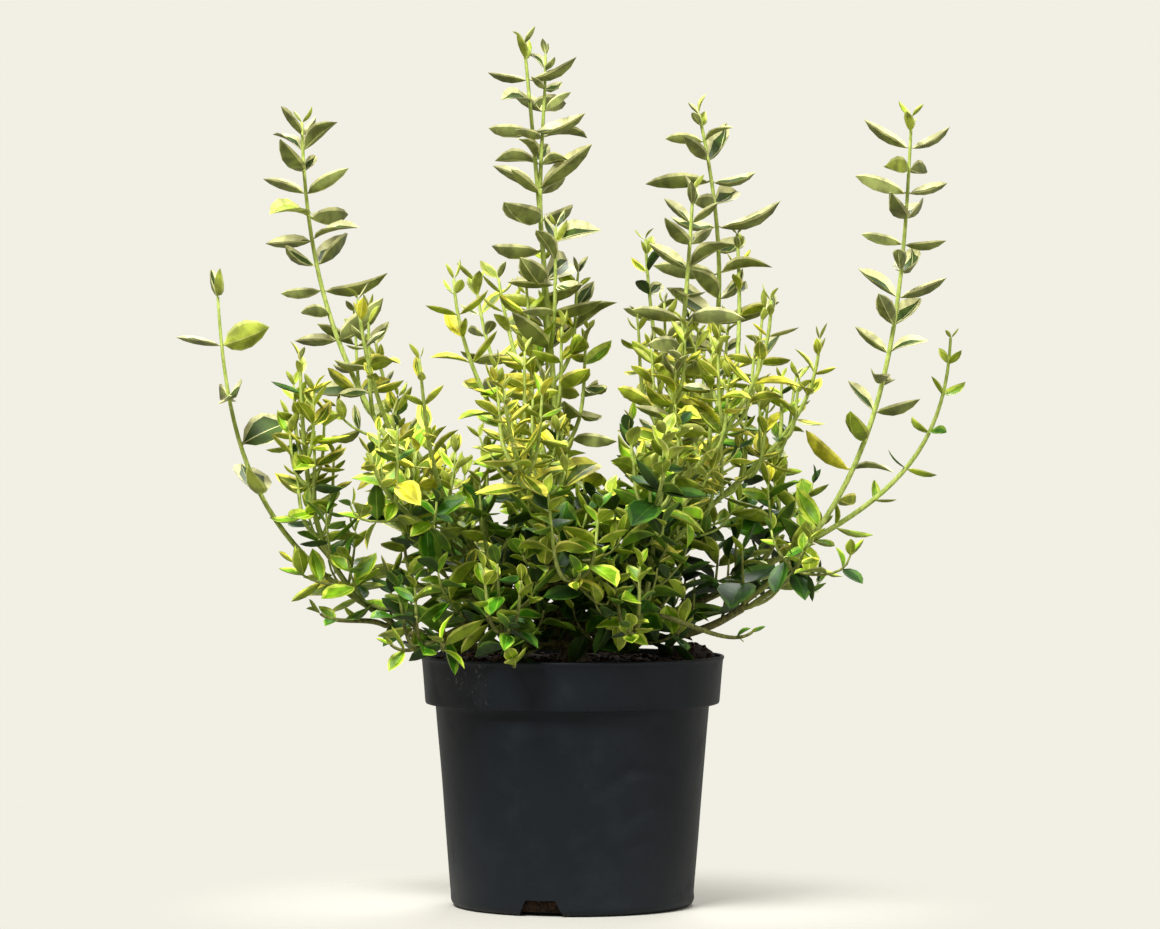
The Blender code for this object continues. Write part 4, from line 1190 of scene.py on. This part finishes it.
def placeLeaves(sprays, limbs):
    # Deals every leaf that finds room to its tone, as (shape, matrix)
    room = Room(limbs)
    chance = random.Random(dealing["seed"])
    crownLow, crownHigh = potHigh.z, cadBox[1].z
    dealt = {tone: [] for tone in leafTones}
    wanted = 0
    for spray in sprays:
        sprayDraw = chance.random()
        for base, way, length, node in spray["leaves"]:
            wanted += 1
            height = (base.z - crownLow) / (crownHigh - crownLow)
            draw = sprayDraw if chance.random() < dealing["sameTone"] else chance.random()
            tone = pickTone(height + spray["lift"], draw)
            if node <= dealing["youngNode"] and chance.random() < dealing["youngTone"]:
                tone = next(tipTone for limit, tipTone in tipTones if height <= limit)
            # Painted shade: this share of a spray's leaves take the darker shade green, which stands for
            # the shade inside the crown
            if chance.random() < spray["shade"]:
                tone = "shadeGreen"
            family = spray["family"] if height > leaf["broadBelow"] else "broad"
            number = (family, chance.randrange(len(leafShapes[family])))
            roll = chance.uniform(-spray["roll"], spray["roll"])
            for nudge in leaf["nudges"]:
                turned = way.copy()
                turned.rotate(Matrix.Rotation(math.radians(nudge), 3, "Z"))
                matrix = leafMatrix(base, turned, length, roll)
                fits = any(inside(base + turned * length, box) for box in spray["boxes"])
                if fits and room.take(matrix):
                    dealt[tone].append((number, matrix))
                    break
    print("leaves", sum(len(placed) for placed in dealt.values()), "of", wanted)
    return dealt


def joinedLeaves(name, units, placed):
    # One mesh from copies of the leaf shapes
    points, faces, paints, start = [], [], [], 0
    for number, matrix in placed:
        unitPoints, unitFaces, unitPaints = units[number]
        grid = np.array(matrix)
        points.append(unitPoints @ grid[:3, :3].T + grid[:3, 3])
        faces.append(unitFaces + start)
        paints.append(unitPaints)
        start += len(unitPoints)
    points, faces, paints = np.concatenate(points), np.concatenate(faces), np.concatenate(paints)
    mesh = bpy.data.meshes.new(name)
    mesh.vertices.add(len(points))
    mesh.vertices.foreach_set("co", points.ravel())
    mesh.loops.add(faces.size)
    mesh.loops.foreach_set("vertex_index", faces.ravel())
    mesh.polygons.add(len(faces))
    mesh.polygons.foreach_set("loop_start", np.arange(len(faces)) * 4)
    mesh.update()
    mesh.validate()
    mesh.polygons.foreach_set("material_index", paints)
    smoothed(mesh, dealing["sharp"])
    return mesh


# Shoots are woody low down and green towards the tip: the heights where the colour steps
stemTones = {
    "woody": {"below": 0.165, "dark": (82, 84, 36), "light": (134, 138, 64)},
    "olive": {"below": 0.200, "dark": (112, 122, 50), "light": (150, 158, 76)},
    "green": {"below": 9.0, "dark": (136, 156, 60), "light": (182, 196, 98)},
}


def stemRadii(form, count):
    drop = form["foot"] - form["tip"]
    return [form["foot"] - drop * (index / (count - 1)) ** form["taper"] for index in range(count)]


def makeShoots(sprays):
    lines = {tone: [] for tone in stemTones}
    for spray in sprays:
        points = spray["points"]
        run, runRadii, tone = [], [], None
        for place, radius in zip(points, stemRadii(spray["form"], len(points))):
            here = next(key for key, spec in stemTones.items() if place.z < spec["below"])
            if tone is not None and here != tone:
                lines[tone].append((run + [place], runRadii + [radius]))
                run, runRadii = [], []
            tone = here
            run.append(place)
            runRadii.append(radius)
        if len(run) > 1:
            lines[tone].append((run, runRadii))
    for tone, parts in lines.items():
        spec = stemTones[tone]
        material = barkFinish(tone + "Shoots", spec["dark"], spec["light"], (1.0, 1.0, 0.4))
        finished(tone + "Shoots", stems(tone, parts, 1), [material], "bark", *masses)
    print("shoots done:", len(sprays))


def limbTree(sprays):
    # Everything stiff that a leaf must not touch, past the foot of its own stalk
    lines = []
    for spray in sprays:
        radii = stemRadii(spray["form"], len(spray["points"]))
        lines.append((spray["points"], [radius * dealing["limbShare"] for radius in radii]))
    thin = stems("limbTree", lines, 0)
    solids = [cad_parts[name].data for name in ("pot", "soil", "trunk", *boughs)]
    points, faces = [], []
    for mesh in [*solids, thin]:
        start = len(points)
        points += [vert.co.copy() for vert in mesh.vertices]
        faces += [tuple(start + index for index in face.vertices) for face in mesh.polygons]
    bpy.data.meshes.remove(thin)
    return BVHTree.FromPolygons(points, faces)


def makeLeaves(sprays):
    units = {}
    for family, specs in leafShapes.items():
        for number, spec in enumerate(specs):
            units[family, number] = leafUnit(dict(zip(shapeParts, spec)), len(units))
    dealt = placeLeaves(sprays, limbTree(sprays))
    for tone, placed in dealt.items():
        spec = dict(zip(toneParts, leafTones[tone]))
        rough = {
            "heart": spec["gloss"], "margin": spec["gloss"] + dealing["marginRougher"],
            "under": dealing["underRoughness"], "underMargin": dealing["underRoughness"],
        }
        materials = [
            leafFinish(tone + part[0].upper() + part[1:], linear(*spec[part]), rough[part])
            for part in rough
        ]
        perPiece = dealing["pieceTriangles"] // (2 * max(len(unit[1]) for unit in units.values()))
        for part in range(0, len(placed), perPiece):
            name = f"{tone}Leaves{part // perPiece + 1}"
            mesh = joinedLeaves(name, units, placed[part:part + perPiece])
            finished(name, mesh, materials, "foliage", *masses)
    print("leaves done")


makeStage()
makePot()
makeCompost()
makeTrunk()
boughEnds = makeBoughs()
allSprays = growSprays(boughEnds)
makeShoots(allSprays)
makeLeaves(allSprays)
